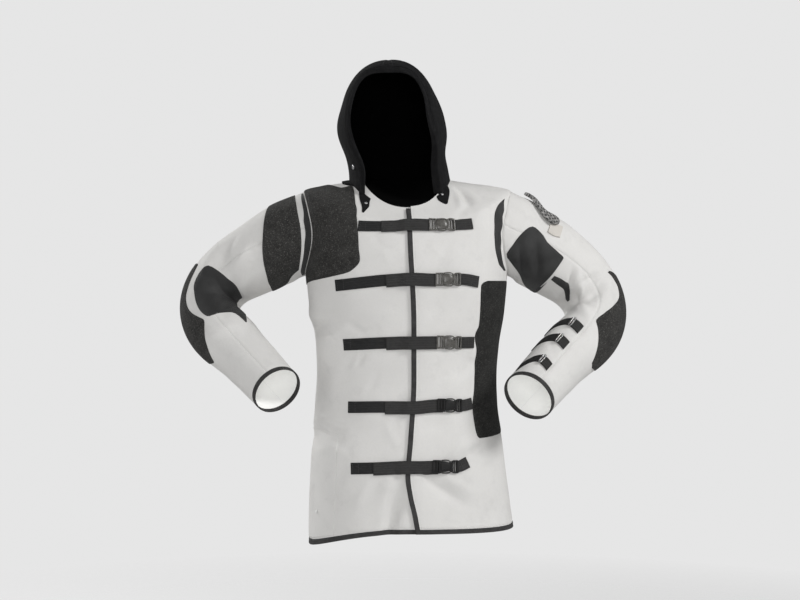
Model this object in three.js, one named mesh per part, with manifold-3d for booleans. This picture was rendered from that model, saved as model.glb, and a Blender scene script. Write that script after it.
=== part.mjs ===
// Shooting jacket with hood: stiff canvas, webbing straps with buckles, dark grip and stretch pieces.
// Worn form with nobody in it. Millimetres, +Z up, front towards -Y, the wearer's left is +X.
// The origin is the middle of the shoulders, level with the points where they meet the neck.
import * as THREE from "three";
import { mergeVertices } from "three/addons/utils/BufferGeometryUtils.js";
import Module from "manifold-3d";

const wasm = await Module();
wasm.setup();

// ---------------------------------------------------------------- driving dimensions
const CANVAS = 2.0;              // wall of the body and the sleeves
const FLEECE = 2.4;              // wall of the hood
const PATCH = 1.3;               // grip and stretch pieces laid on the canvas
const WEBBING = 1.5;             // thickness of one layer of strap
const STRAP_WIDTH = 25;
const BINDING_WIDTH = 11;        // folded tape round the hem, the front edge and the cuffs
const BINDING_THICK = 3.6;
const SEAM = 0.35;               // clear gap between two pieces at a seam
const SEAT = 0.4;                // clear gap under a piece that lies on another
const LAP = 4.0;                 // how far the upper front edge stands over the lower one
const LAP_FADE = 70;             // width over which that rise fades out
const UNDERLAP = 14;             // how far the lower front runs on under the upper one
const HEM_UNDERLAP = 3;          // its hem tape stops sooner
const HEM = -776;                // level of the finished hem
const NECK = 115;                // level of the neckline

const ARMHOLE = { middle: -120, half: 95, angle: 20 };
const ARMHOLE_STEPS = 10;        // rows of a body panel beside the armhole
const SLEEVE_COLUMNS = 2 * ARMHOLE_STEPS;
const CAP_FADE = 115;            // length over which the sleeve turns from armhole to round tube

const COLOUR = {
  canvas: 0xcbc9c6,
  grip: 0x2b2b2a,
  stretch: 0x303030,
  fleece: 0x1c1c1d,
  webbing: 0x232324,
  plastic: 0x3a3a3c,
  metal: 0xb9b9bb,
};

// ---------------------------------------------------------------- small mathematics
const radians = THREE.MathUtils.degToRad;
const degrees = THREE.MathUtils.radToDeg;
const vec = (x, y, z) => new THREE.Vector3(x, y, z);
const smooth = (from, to, x) => THREE.MathUtils.smoothstep(x, from, to);
const range = (count) => Array.from({ length: count }, (_, k) => k);

// A monotone cubic through the given keys and values.
function spline(keys, values) {
  const last = keys.length - 1;
  const steps = range(last).map((k) => keys[k + 1] - keys[k]);
  const slopes = range(last).map((k) => (values[k + 1] - values[k]) / steps[k]);
  const ends = values.map((_, k) => {
    if (k === 0) return slopes[0];
    if (k === last) return slopes[last - 1];
    const before = slopes[k - 1];
    const after = slopes[k];
    if (before * after <= 0) return 0;
    const w1 = 2 * steps[k] + steps[k - 1];
    const w2 = steps[k] + 2 * steps[k - 1];
    return (w1 + w2) / (w1 / before + w2 / after);
  });
  return (x) => {
    let k = 0;
    while (k < last - 1 && x > keys[k + 1]) k += 1;
    const t = (x - keys[k]) / steps[k];
    const one = (1 + 2 * t) * (1 - t) ** 2 * values[k];
    const two = t * (1 - t) ** 2 * steps[k] * ends[k];
    const three = t * t * (3 - 2 * t) * values[k + 1];
    const four = t * t * (t - 1) * steps[k] * ends[k + 1];
    return one + two + three + four;
  };
}

// A table whose first column is the key: each named column becomes a smooth function of it.
function table(names, rows) {
  const keys = rows.map((row) => row[0]);
  const columns = names.split(" ");
  return Object.fromEntries(columns.map((name, k) => [name, spline(keys, rows.map((row) => row[k]))]));
}

// A table whose rows become plain records.
function records(names, rows) {
  const columns = names.split(" ");
  return rows.map((row) => Object.fromEntries(columns.map((name, k) => [name, row[k]])));
}

// ---------------------------------------------------------------- surfaces
// A surface is a function of (u, v). The finish adds height along its normal.
function normalAt(surface, u, v, turn = 1) {
  const du = surface(u + 0.4, v).sub(surface(u - 0.4, v));
  const dv = surface(u, v + 1.5).sub(surface(u, v - 1.5));
  return du.cross(dv).normalize().multiplyScalar(turn);
}

function raised(surface, height, turn = 1) {
  return (u, v) => surface(u, v).addScaledVector(normalAt(surface, u, v, turn), height(u, v));
}

// Soft ridges and troughs: a bell across, fading out at both ends of its run.
function foldHeight(folds, uScale) {
  return (u, v) => {
    let sum = 0;
    for (const fold of folds) {
      const a = (THREE.MathUtils.euclideanModulo(u - fold.u + 180, 360) - 180) * uScale;
      const b = v - fold.v;
      const turn = radians(fold.tilt);
      const along = a * Math.cos(turn) + b * Math.sin(turn);
      const across = b * Math.cos(turn) - a * Math.sin(turn);
      const reach = Math.max(0, 1 - (along / fold.run) ** 2);
      sum += fold.height * reach * reach * Math.exp(-((across / fold.width) ** 2));
    }
    return sum;
  };
}

// Body sections. u is the angle round the body: 0 at the front, 90 on the wearer's left.
// side is the height at the sides; the lifts bend a section up or down at front, back and right.
const BODY = table("level side left right front back frontLift backLift rightLift power", [
  [-776, -776, 236, 222, 168, 152, 6, -6, -38, 2.3],
  [-700, -700, 226, 221, 163, 147, 3, -3, -22, 2.3],
  [-630, -630, 216, 218, 157, 139, 0, 0, -10, 2.3],
  [-560, -560, 207, 212, 150, 131, 0, 0, -3, 2.3],
  [-500, -500, 199, 208, 145, 125, 0, 0, 0, 2.3],
  [-430, -430, 197, 205, 143, 122, 0, 0, 0, 2.3],
  [-370, -370, 202, 207, 145, 126, 0, 0, 0, 2.35],
  [-300, -300, 214, 219, 149, 135, 0, 0, 0, 2.4],
  [-215, -215, 222, 228, 150, 142, -2, 0, 0, 2.45],
  [-170, -170, 226, 231, 147, 139, -12, 4, 0, 2.45],
  [-120, -120, 230, 233, 141, 132, -30, 8, 0, 2.45],
  [-70, -70, 233, 235, 134, 121, -52, 5, 0, 2.45],
  [-28, -27, 231, 233, 126, 110, -74, -4, 0, 2.4],
  [15, -15, 192, 192, 118, 100, -76, -2, 0, 2.3],
  [65, -7, 138, 146, 109, 89, -74, 6, 0, 2.2],
  [115, 0, 86, 104, 99, 77, -68, 14, 0, 2.3],
]);

function bodySection(angle, level) {
  const sine = Math.sin(radians(angle));
  const cosine = Math.cos(radians(angle));
  const halfWidth = sine >= 0 ? BODY.left(level) : BODY.right(level);
  const depth = cosine >= 0 ? BODY.front(level) : BODY.back(level);
  const power = BODY.power(level);
  const sum = Math.abs(sine / halfWidth) ** power + Math.abs(cosine / depth) ** power;
  const radius = sum ** (-1 / power);
  const lift = cosine >= 0 ? BODY.frontLift(level) : BODY.backLift(level);
  const rightLift = sine < 0 ? BODY.rightLift(level) : 0;
  const x = radius * sine;
  const y = -radius * cosine;
  return vec(x, y, BODY.side(level) + lift * (y / depth) ** 2 + rightLift * (x / halfWidth) ** 2);
}

// The largest folds of the body: u in degrees, v as level, run and width as half sizes.
const BODY_FOLDS = records("u v tilt run width height", [
  [-76, -332, 8, 70, 17, -5],
  [-80, -302, 4, 80, 18, 4],
  [-78, -572, -4, 70, 17, -5],
  [-76, -540, 3, 60, 17, 3],
  [-22, -720, 78, 70, 22, -5],
  [30, -700, -62, 95, 24, -4],
  [46, -660, -58, 90, 22, 4],
  [150, -470, 12, 120, 20, -5],
  [165, -430, -6, 130, 20, 4],
  [215, -500, -14, 110, 20, -5],
  [200, -620, 60, 90, 24, 4],
  [160, -650, -66, 90, 24, 4],
]);
const body = raised(bodySection, foldHeight(BODY_FOLDS, 3.2));
const bodyNormal = (angle, level) => normalAt(body, angle, level);

// x of the middle of the bound front edge at each level, and of the edges beside it.
const FRONT_EDGE = table("level x", [
  [-776, 21],
  [-735, 14],
  [-690, 4],
  [-650, -1],
  [-570, 5],
  [-440, 12],
  [-330, 12],
  [-150, 5],
  [115, 0],
]);
function frontAngle(level, shift) {
  return degrees(Math.atan2(FRONT_EDGE.x(level) + shift, BODY.front(level)));
}

// The left front rises towards its edge, because that edge lies on the right front.
function lapRise(angle, level) {
  const fromEdge = bodySection(angle, level).x - FRONT_EDGE.x(level);
  return LAP * (1 - smooth(BINDING_WIDTH, LAP_FADE, Math.abs(fromEdge)));
}
const leftFront = raised(body, lapRise);

// ---------------------------------------------------------------- sleeves
// u is the angle round the arm: 0 on top, 90 in front. v is the distance from the armhole.
const SLEEVES = {
  left: {
    side: 1,
    elbow: vec(464, 73, -283),
    cuff: vec(256, -150, -478),
    size: table("v up down across", [
      [0, 96, 96, 76],
      [50, 98, 84, 78],
      [115, 94, 77, 78],
      [200, 88, 68, 79],
      [285, 84, 60, 78],
      [370, 75, 62, 70],
      [450, 63, 60, 62],
      [580, 57, 57, 57],
    ]),
    folds: records("u v tilt run width height", [
      [95, 215, 62, 70, 15, 6],
      [118, 236, 70, 60, 14, -6],
      [75, 240, 58, 70, 15, -5],
      [60, 262, 52, 60, 14, 4],
      [150, 180, 40, 60, 14, 5],
      [88, 330, -52, 60, 14, 4],
      [250, 250, -50, 70, 16, -5],
      [280, 285, -44, 70, 16, 5],
      [20, 70, -10, 70, 18, -4],
      [300, 80, 20, 80, 18, 4],
    ]),
  },
  right: {
    side: -1,
    elbow: vec(-492, 73, -268),
    cuff: vec(-280, -150, -465),
    size: table("v up down across", [
      [0, 96, 96, 76],
      [50, 97, 84, 78],
      [115, 90, 77, 78],
      [200, 85, 69, 79],
      [290, 80, 60, 78],
      [380, 74, 62, 69],
      [460, 62, 57, 60],
      [595, 54, 54, 54],
    ]),
    folds: records("u v tilt run width height", [
      [84, 150, 58, 75, 15, 5],
      [96, 172, 64, 60, 14, -5],
      [60, 168, 50, 60, 14, -4],
      [44, 205, 60, 60, 14, 4],
      [130, 190, 40, 60, 14, 4],
      [100, 350, -50, 50, 13, -4],
      [60, 400, 20, 70, 14, 3],
      [250, 250, -50, 70, 16, -5],
      [280, 285, -44, 70, 16, 5],
      [300, 80, 20, 80, 18, 4],
    ]),
  },
};
const ELBOW_CORNER = 165;        // distance from the elbow at which each straight part of the arm ends
const PINCH = { share: 0.28, run: 75, side: 140 };  // the cloth draws in at the inside of the elbow
const CUFF_TURN = vec(0, -0.16, 0);

// Adds the middle line and the ring frames of a sleeve to its record.
function layOutSleeve(sleeve) {
  const mid = bodySection(90 * sleeve.side, ARMHOLE.middle);
  const start = vec(mid.x - 4 * sleeve.side, -2, ARMHOLE.middle);
  const upper = sleeve.elbow.clone().sub(start).normalize();
  const lower = sleeve.cuff.clone().sub(sleeve.elbow).normalize();
  const bendIn = sleeve.elbow.clone().addScaledVector(upper, -ELBOW_CORNER);
  const bendOut = sleeve.elbow.clone().addScaledVector(lower, ELBOW_CORNER);
  const bend = new THREE.QuadraticBezierCurve3(bendIn, sleeve.elbow, bendOut);
  bend.arcLengthDivisions = 400;
  const upperLength = bendIn.distanceTo(start);
  const bendLength = bend.getLength();
  sleeve.length = upperLength + bendLength + sleeve.cuff.distanceTo(bendOut);
  sleeve.elbowAt = upperLength + bendLength / 2;
  sleeve.centre = (v) => {
    if (v <= upperLength) return start.clone().addScaledVector(upper, v);
    if (v >= upperLength + bendLength) return sleeve.cuff.clone().addScaledVector(lower, v - sleeve.length);
    return bend.getPointAt((v - upperLength) / bendLength);
  };
  const bendAxis = upper.clone().cross(lower).normalize();
  const topAtStart = vec(-upper.z * sleeve.side, 0, upper.x * sleeve.side).normalize();
  const cuffNormal = lower.clone().add(CUFF_TURN).normalize();
  sleeve.frame = (v) => {
    const along = sleeve.centre(v + 1).sub(sleeve.centre(v - 1)).normalize();
    const turned = Math.atan2(upper.clone().cross(along).dot(bendAxis), along.dot(upper));
    const top = topAtStart.clone().applyAxisAngle(bendAxis, turned);
    const atArmhole = 1 - smooth(0, CAP_FADE, v);
    const atCuff = smooth(sleeve.length - 90, sleeve.length, v);
    const normal = along.multiplyScalar((1 - atArmhole) * (1 - atCuff));
    normal.addScaledVector(vec(sleeve.side, 0, 0), atArmhole).addScaledVector(cuffNormal, atCuff).normalize();
    top.addScaledVector(normal, -top.dot(normal)).normalize();
    return { top, front: normal.clone().cross(top).multiplyScalar(sleeve.side) };
  };
}

function armholePoint(sleeve, u, shrink) {
  const level = ARMHOLE.middle + (ARMHOLE.half - shrink) * Math.cos(radians(u));
  const reach = ARMHOLE.angle - degrees(shrink / 225);
  return body(sleeve.side * (90 - reach * Math.sin(radians(u))), level);
}

function sleeveTube(sleeve, u, v) {
  const { top, front } = sleeve.frame(v);
  const cosine = Math.cos(radians(u));
  const rise = cosine > 0 ? sleeve.size.up(v) : sleeve.size.down(v);
  const across = sleeve.size.across(v) * Math.sin(radians(u));
  const inside = Math.max(0, Math.cos(radians(u - PINCH.side))) ** 1.5;
  const full = 1 - PINCH.share * inside * Math.exp(-(((v - sleeve.elbowAt) / PINCH.run) ** 2));
  return sleeve.centre(v).addScaledVector(top, full * rise * cosine).addScaledVector(front, full * across);
}

function sleeveSection(sleeve) {
  return (u, v) => {
    const point = sleeveTube(sleeve, u, v);
    const stay = 1 - smooth(0, CAP_FADE, v);
    if (stay === 0) return point;
    const miss = armholePoint(sleeve, u, SEAM).sub(sleeveTube(sleeve, u, 0));
    return point.addScaledVector(miss, stay);
  };
}

for (const sleeve of Object.values(SLEEVES)) {
  layOutSleeve(sleeve);
  const fold = foldHeight(sleeve.folds, 1.3);
  const height = (u, v) => fold(u, v) * smooth(0, 60, v);
  sleeve.surface = raised(sleeveSection(sleeve), height, sleeve.side);
}

// ---------------------------------------------------------------- hood
// u runs over the head from -100 (wearer's right) to 100 (left), v from 0 at the face to 100 at the nape.
// leftBase and rightBase are the angles on the body where a line of the hood comes down.
const HOOD = table("v crownY crownZ swell leftBase rightBase roundness", [
  [0, -98, 227, 6, 45, 52, 0.62],
  [8, -90, 243, 12, 55, 60, 0.74],
  [20, -60, 259, 20, 71, 75, 0.9],
  [38, 0, 265, 23, 94, 94, 1],
  [58, 68, 250, 25, 112, 112, 1],
  [74, 110, 198, 24, 126, 126, 0.95],
  [88, 112, 115, 18, 139, 139, 0.9],
  [100, 84, 20, 0, 150, 150, 0.86],
]);
const HOOD_LEVEL = 96.5;
const HOOD_LEVEL_SIDE = 12.5;    // the hood sits lower on the right shoulder than on the left
const HOOD_LIFT = 1.8;            // clear gap between the hood's lower edge and the shoulders
const HOOD_LEAN = -20;
const HOOD_TURN = radians(7);

function hoodSeat(angle, outward = 0) {
  const seam = HOOD_LEVEL + HOOD_LEVEL_SIDE * Math.sin(radians(angle));
  const rise = body(angle, seam + 0.5).distanceTo(body(angle, seam - 0.5));
  const level = seam - outward / rise;
  return body(angle, level).addScaledVector(bodyNormal(angle, level), HOOD_LIFT);
}

function hoodSeatAngle(u, v) {
  const baseAngle = u < 0 ? HOOD.rightBase(v) : HOOD.leftBase(v);
  return v < 100 ? (u * baseAngle) / 100 : 180 - Math.sign(u || 1) * (180 - baseAngle) * Math.abs(u / 100);
}

function hood(u, v) {
  const h = THREE.MathUtils.clamp(u / 100, -1, 1);
  const side = h < 0 ? -1 : 1;
  const baseAngle = side > 0 ? HOOD.leftBase(v) : HOOD.rightBase(v);
  const leftBase = hoodSeat(HOOD.leftBase(v));
  const rightBase = hoodSeat(-HOOD.rightBase(v));
  const base = side > 0 ? leftBase : rightBase;
  const middle = (leftBase.x + rightBase.x) / 2;
  const halfBase = (leftBase.x - rightBase.x) / 2;
  const up = Math.cos((h * Math.PI) / 2);
  const out = Math.sin((Math.abs(h) * Math.PI) / 2);
  const halfWidth = halfBase + HOOD.swell(v) * (1 - (1 - up) ** 2.4);
  const x = middle + side * out ** HOOD.roundness(v) * halfWidth;
  const y = base.y + (HOOD.crownY(v) - base.y) * up ** 0.62;
  const z = base.z + (HOOD.crownZ(v) - base.z) * up ** 0.9;
  const turn = HOOD_TURN * smooth(0, 150, z);
  const leanX = x + HOOD_LEAN * smooth(0, 140, z);
  const turnedX = leanX * Math.cos(turn) + y * Math.sin(turn);
  const turnedY = y * Math.cos(turn) - leanX * Math.sin(turn);
  const arch = vec(turnedX, turnedY, z);
  const napeAngle = 180 - side * (180 - baseAngle) * Math.abs(h);
  return arch.lerp(hoodSeat(napeAngle), smooth(82, 100, v));
}

// ---------------------------------------------------------------- solids
// Builds one closed solid from two like grids of points, open at its edges or closed round in j.
function shell(outer, inner, closed = false) {
  const rows = outer.length;
  const columns = outer[0].length;
  const points = [...outer.flat(), ...inner.flat()];
  const at = (i, j, layer) => layer * rows * columns + i * columns + (j % columns);
  const faces = [];
  const quad = (a, b, c, d) => faces.push(a, b, c, a, c, d);
  const lastColumn = closed ? columns : columns - 1;
  for (let i = 0; i < rows - 1; i += 1) {
    for (let j = 0; j < lastColumn; j += 1) {
      quad(at(i, j, 0), at(i, j + 1, 0), at(i + 1, j + 1, 0), at(i + 1, j, 0));
      quad(at(i, j, 1), at(i + 1, j, 1), at(i + 1, j + 1, 1), at(i, j + 1, 1));
    }
  }
  for (let j = 0; j < lastColumn; j += 1) {
    quad(at(0, j, 1), at(0, j + 1, 1), at(0, j + 1, 0), at(0, j, 0));
    quad(at(rows - 1, j, 0), at(rows - 1, j + 1, 0), at(rows - 1, j + 1, 1), at(rows - 1, j, 1));
  }
  for (let i = 0; i < rows - 1 && !closed; i += 1) {
    quad(at(i, 0, 0), at(i + 1, 0, 0), at(i + 1, 0, 1), at(i, 0, 1));
    quad(at(i, columns - 1, 1), at(i + 1, columns - 1, 1), at(i + 1, columns - 1, 0), at(i, columns - 1, 0));
  }
  return outward(points, faces);
}

// Turns the faces round if they point inwards.
function outward(points, faces) {
  let volume = 0;
  for (let k = 0; k < faces.length; k += 3) {
    const [a, b, c] = [points[faces[k]], points[faces[k + 1]], points[faces[k + 2]]];
    volume += a.dot(b.clone().cross(c));
  }
  const index = [];
  for (let k = 0; k < faces.length; k += 3) {
    if (volume > 0) index.push(faces[k], faces[k + 1], faces[k + 2]);
    else index.push(faces[k], faces[k + 2], faces[k + 1]);
  }
  const geometry = new THREE.BufferGeometry();
  geometry.setAttribute("position", new THREE.Float32BufferAttribute(points.flatMap((p) => p.toArray()), 3));
  geometry.setIndex(index);
  return geometry;
}

// A grid of points at height above a surface. spots is a grid of [u, v].
function skin(surface, spots, height, turn = 1) {
  const lifted = ([u, v]) => surface(u, v).addScaledVector(normalAt(surface, u, v, turn), height);
  return spots.map((row) => row.map(lifted));
}

function slab(surface, spots, low, high, turn = 1, closed = false) {
  return shell(skin(surface, spots, high, turn), skin(surface, spots, low, turn), closed);
}

function toManifold(geometry) {
  const bare = new THREE.BufferGeometry();
  bare.setAttribute("position", geometry.getAttribute("position"));
  if (geometry.index) bare.setIndex(geometry.index);
  const merged = mergeVertices(bare, 1e-4);
  const vertProperties = new Float32Array(merged.getAttribute("position").array);
  const triVerts = new Uint32Array(merged.getIndex().array);
  return new wasm.Manifold(new wasm.Mesh({ numProp: 3, vertProperties, triVerts }));
}

function fromManifold(solid) {
  const mesh = solid.getMesh();
  const geometry = new THREE.BufferGeometry();
  geometry.setAttribute("position", new THREE.Float32BufferAttribute(mesh.vertProperties, 3));
  geometry.setIndex(Array.from(mesh.triVerts));
  return geometry;
}

// The outline of a flat piece in surface coordinates: at each key, the low and the high edge.
// along names the coordinate that the keys stand for; the edges are values of the other one.
function outline(along, columns, rows) {
  return rows.map(([key, from, to]) => range(columns + 1).map((k) => {
    const edge = from + ((to - from) * k) / columns;
    return along === "v" ? [edge, key] : [key, edge];
  }));
}

// A piece laid on a panel: the panel's own points moved out, cut to the piece's outline.
function laidOn(panel, spots, { low = SEAT, thick = PATCH } = {}) {
  const { surface, side = 1, closed = false } = panel;
  const cloth = toManifold(slab(surface, panel.spots, low, low + thick, side, closed));
  const cutter = toManifold(slab(surface, spots, -5, 9, side));
  return cloth.intersect(cutter).simplify(0.02);
}

// The spot at a distance sideways from (u, v), square to a heading given as steps of u and v.
function sideways(surface, u, v, heading, distance) {
  const stepU = surface(u + 0.5, v).sub(surface(u - 0.5, v));
  const stepV = surface(u, v + 0.5).sub(surface(u, v - 0.5));
  const along = stepU.clone().multiplyScalar(heading[0]).addScaledVector(stepV, heading[1]);
  const across = stepU.clone().cross(stepV).cross(along).setLength(distance);
  const uu = stepU.dot(stepU);
  const uv = stepU.dot(stepV);
  const vv = stepV.dot(stepV);
  const p = across.dot(stepU);
  const q = across.dot(stepV);
  const scale = uu * vv - uv * uv;
  return [u + (vv * p - uv * q) / scale, v + (uu * q - uv * p) / scale];
}

// A strap along a path over a surface. The path gives u, v and width at each station,
// low and high give the heights of its two faces.
function ribbon(surface, path, stations, low, high, side = 1) {
  const spots = stations.map((t) => {
    const heading = [path.u(t + 0.1) - path.u(t - 0.1), path.v(t + 0.1) - path.v(t - 0.1)];
    const half = path.width(t) / 2;
    return [-half, half].map((distance) => sideways(surface, path.u(t), path.v(t), heading, distance));
  });
  const face = (height) => spots.map((row, i) => row.map(([u, v]) => {
    const rise = height(stations[i], u, v);
    return surface(u, v).addScaledVector(normalAt(surface, u, v, side), rise);
  }));
  return shell(face(high), face(low));
}

// Even stations from one value to another, about a step apart.
function between(from, to, step) {
  const count = Math.max(1, Math.round(Math.abs(to - from) / step));
  return range(count + 1).map((k) => from + ((to - from) * k) / count);
}

const group = new THREE.Group();
function add(name, geometry, colour, roughness = 0.9, metalness = 0) {
  const material = new THREE.MeshStandardMaterial({ color: colour, roughness, metalness });
  const mesh = new THREE.Mesh(geometry, material);
  mesh.name = name;
  group.add(mesh);
}

// ---------------------------------------------------------------- body panels
const lowerLevels = [-765, -710, -655, -600, -550, -505, -460, -415, -370, -320, -270];
const armholeLevels = range(ARMHOLE_STEPS + 1).map(
  (k) => ARMHOLE.middle - ARMHOLE.half * Math.cos((Math.PI * k) / ARMHOLE_STEPS),
);
const shoulderLevels = [5, 35, 65, 92, NECK];
const panelLevels = [...lowerLevels, ...armholeLevels, ...shoulderLevels];

// Angle between the side and the edge of a panel at a level: the armhole, or half a seam.
function sideInset(level) {
  const high = (level - ARMHOLE.middle) / ARMHOLE.half;
  const halfSeam = degrees(SEAM / 2 / BODY.left(level));
  return halfSeam + ARMHOLE.angle * Math.sqrt(Math.max(0, 1 - high * high));
}

function spread(levels, columns, from, to) {
  return levels.map((level) => range(columns + 1).map((k) => {
    const start = from(level);
    return [start + ((to(level) - start) * k) / columns, level];
  }));
}

const FRONT_COLUMNS = 8;
const BACK_COLUMNS = 12;
const halfBinding = BINDING_WIDTH / 2;
const PANELS = {
  right: {
    surface: body,
    columns: FRONT_COLUMNS,
    from: (level) => -90 + sideInset(level),
    to: (level) => frontAngle(level, level < panelLevels[0] ? HEM_UNDERLAP : UNDERLAP),
  },
  left: {
    surface: leftFront,
    columns: FRONT_COLUMNS,
    from: (level) => frontAngle(level, halfBinding + SEAM),
    to: (level) => 90 - sideInset(level),
  },
  back: {
    surface: body,
    columns: BACK_COLUMNS,
    from: (level) => 90 + sideInset(level),
    to: (level) => 270 - sideInset(level),
  },
};
for (const panel of Object.values(PANELS)) {
  panel.spots = spread(panelLevels, panel.columns, panel.from, panel.to);
}
add("front_right", slab(body, PANELS.right.spots, -CANVAS, 0), COLOUR.canvas);
add("front_left", slab(leftFront, PANELS.left.spots, -CANVAS, 0), COLOUR.canvas);
add("back", slab(body, PANELS.back.spots, -CANVAS, 0), COLOUR.canvas);

// Bindings: folded tape that goes on from the edge of its panel.
const bindingLow = -(CANVAS + BINDING_THICK) / 2;
const bindingHigh = bindingLow + BINDING_THICK;
for (const [name, { surface, columns, from, to }] of Object.entries(PANELS)) {
  const spots = spread([HEM, panelLevels[0] - SEAM], columns, from, to);
  add(`hem_${name}`, slab(surface, spots, bindingLow, bindingHigh), COLOUR.webbing);
}
const edgeSpots = spread(
  [HEM, ...panelLevels], 1,
  (level) => frontAngle(level, -halfBinding),
  (level) => frontAngle(level, halfBinding),
);
add("front_edge", slab(leftFront, edgeSpots, bindingLow, bindingHigh), COLOUR.webbing);

// ---------------------------------------------------------------- sleeves and cuffs
const sleeveRows = [0, 14, 34, 60, 90, 122, 152, 180, 206, 232, 256, 280, 306, 338, 376, 416, 458, 504];
const SLEEVE_SEAM = 4;           // column of the front seam of a sleeve; the back seam is half way round
const COLUMN_ANGLE = 360 / SLEEVE_COLUMNS;

function sleeveSpots(sleeve, firstColumn, columns) {
  const rows = [...sleeveRows, sleeve.length - BINDING_WIDTH];
  return rows.map((v) => range(columns + 1).map((k) => {
    const u = (firstColumn + k) * COLUMN_ANGLE;
    const trim = degrees((0.7 * SEAM) / sleeve.size.across(v));
    if (k === 0) return [u + trim, v];
    if (k === columns) return [u - trim, v];
    return [u, v];
  }));
}

for (const [name, sleeve] of Object.entries(SLEEVES)) {
  const rows = [...sleeveRows, sleeve.length - BINDING_WIDTH];
  sleeve.spots = rows.map((v) => range(SLEEVE_COLUMNS).map((k) => [k * COLUMN_ANGLE, v]));
  sleeve.closed = true;
  const half = SLEEVE_COLUMNS / 2;
  const top = sleeveSpots(sleeve, SLEEVE_SEAM - half, half);
  const under = sleeveSpots(sleeve, SLEEVE_SEAM, half);
  add(`sleeve_${name}_top`, slab(sleeve.surface, top, -CANVAS, 0, sleeve.side), COLOUR.canvas);
  add(`sleeve_${name}_under`, slab(sleeve.surface, under, -CANVAS, 0, sleeve.side), COLOUR.canvas);
  const cuff = [sleeve.length - BINDING_WIDTH + SEAM, sleeve.length].map(
    (v) => range(SLEEVE_COLUMNS).map((k) => [k * COLUMN_ANGLE, v]),
  );
  add(`cuff_${name}`, slab(sleeve.surface, cuff, bindingLow, bindingHigh, sleeve.side, true), COLOUR.webbing);
}

// ---------------------------------------------------------------- grip and stretch pieces
// Edges of -96 and 96 degrees run past the side seam, so the piece ends where its panel ends.
const FLAT_PIECES = [
  ["patch_shoulder", PANELS.right, COLOUR.grip, outline("v", 6, [
    [-236, -96, -87],
    [-220, -96, -57.5],
    [-206, -96, -43],
    [-174, -96, -37],
    [-138, -96, -38.5],
    [-94, -96, -40],
    [-40, -96, -43],
    [-6, -96, -45.5],
    [20, -96, -48.5],
    [32, -84, -51],
    [54, -72, -56],
    [72, -71.5, -62.5],
    [79.5, -71, -67.5],
  ])],
  ["patch_side", PANELS.left, COLOUR.grip, outline("v", 4, [
    [-570, 54, 58],
    [-565, 52.6, 80],
    [-561, 52.2, 84],
    [-546, 51.5, 84],
    [-504, 51, 84],
    [-460, 53, 84],
    [-384, 54, 84],
    [-346, 51.5, 83.5],
    [-324, 53.5, 83],
    [-238, 53.2, 82],
    [-231, 55, 81.5],
    [-227.5, 58, 80],
  ])],
  ["insert_left", PANELS.left, COLOUR.stretch, outline("v", 4, [
    [-202, 71.5, 96],
    [-170, 65, 96],
    [-94, 63.5, 96],
    [-40, 66, 96],
    [-35, 70, 96],
  ])],
  ["pocket", PANELS.right, COLOUR.canvas, outline("v", 4, [
    [-762, -88.2, -52],
    [-561, -88.2, -53],
    [-556, -88.2, -57.5],
    [-552, -88.2, -79],
  ])],
  ["insert_right", SLEEVES.right, COLOUR.stretch, outline("u", 1, [
    [18, 4, 8],
    [40, 3, 13],
    [90, 3, 15.5],
    [140, 3.4, 13],
    [165, 4.5, 8],
  ])],
  ["patch_cap", SLEEVES.right, COLOUR.grip, outline("u", 3, [
    [-70, 40, 48],
    [-40, 28, 58],
    [0, 21, 62],
    [22, 22, 66],
    [45, 25, 73],
    [63, 27, 80],
    [91, 28, 94],
    [117, 25, 106],
    [143, 24, 120],
    [146, 42, 121],
    [168, 90, 131],
    [180, 132, 136],
  ])],
  ["inner_elbow_right", SLEEVES.right, COLOUR.stretch, outline("v", 5, [
    [194, 111, 116],
    [200, 83, 130],
    [216, 53, 152],
    [234, 49, 158],
    [258, 47, 164],
    [284, 51, 168],
    [318, 53, 166],
    [352, 60, 156],
    [358, 66, 153],
    [364, 89, 149],
    [384, 109, 135],
    [412, 116, 119],
  ])],
  ["patch_elbow_right", SLEEVES.right, COLOUR.grip, outline("v", 4, [
    [228, 18, 29],
    [244, -20, 33],
    [262, -45, 33.5],
    [284, -55, 31],
    [302, -58, 33],
    [318, -58, 38],
    [342, -55, 48],
    [354, -52, 52],
    [372, -44, 43],
    [402, -25, 21],
    [426, -5, -1],
  ])],
  ["diamond", SLEEVES.left, COLOUR.stretch, outline("v", 6, [
    [6, 117, 123],
    [20, 100, 131],
    [50, 57, 144],
    [64, 62, 151],
    [76, 70, 157],
    [100, 75, 168],
    [116.5, 78, 175],
    [118, 116, 176],
    [124, 150, 178.5],
    [130, 179, 181],
  ])],
  ["inner_elbow_left", SLEEVES.left, COLOUR.stretch, outline("v", 1, [
    [121, 108, 117],
    [140, 106, 119],
    [164, 106, 120],
    [190, 117, 131],
    [210, 130, 143],
    [224, 139, 147],
  ])],
  ["patch_elbow_left", SLEEVES.left, COLOUR.grip, outline("v", 4, [
    [216, 33, 40],
    [242, -15, 31],
    [256, -40, 33],
    [280, -55, 47],
    [306, -58, 59],
    [340, -55, 67],
    [356, -50, 56],
    [380, -35, 38],
    [400, -15, 23.5],
    [414, 0, 13],
  ])],
  ["sling_base", SLEEVES.left, COLOUR.canvas, outline("v", 1, [
    [64, 40, 58],
    [90, 37, 59],
  ])],
];
for (const [name, panel, colour, spots] of FLAT_PIECES) {
  add(name, fromManifold(laidOn(panel, spots)), colour);
}

// ---------------------------------------------------------------- hood
const HOOD_ROWS = [6.2, 16, 28, 42, 56, 68, 78, 87, 94, 100];
const HOOD_COLUMNS = [0, 13, 27, 41, 55, 70, 85, 100];
const HOOD_EDGE = { rows: [0, 6], low: -0.6, high: 3 };

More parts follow.
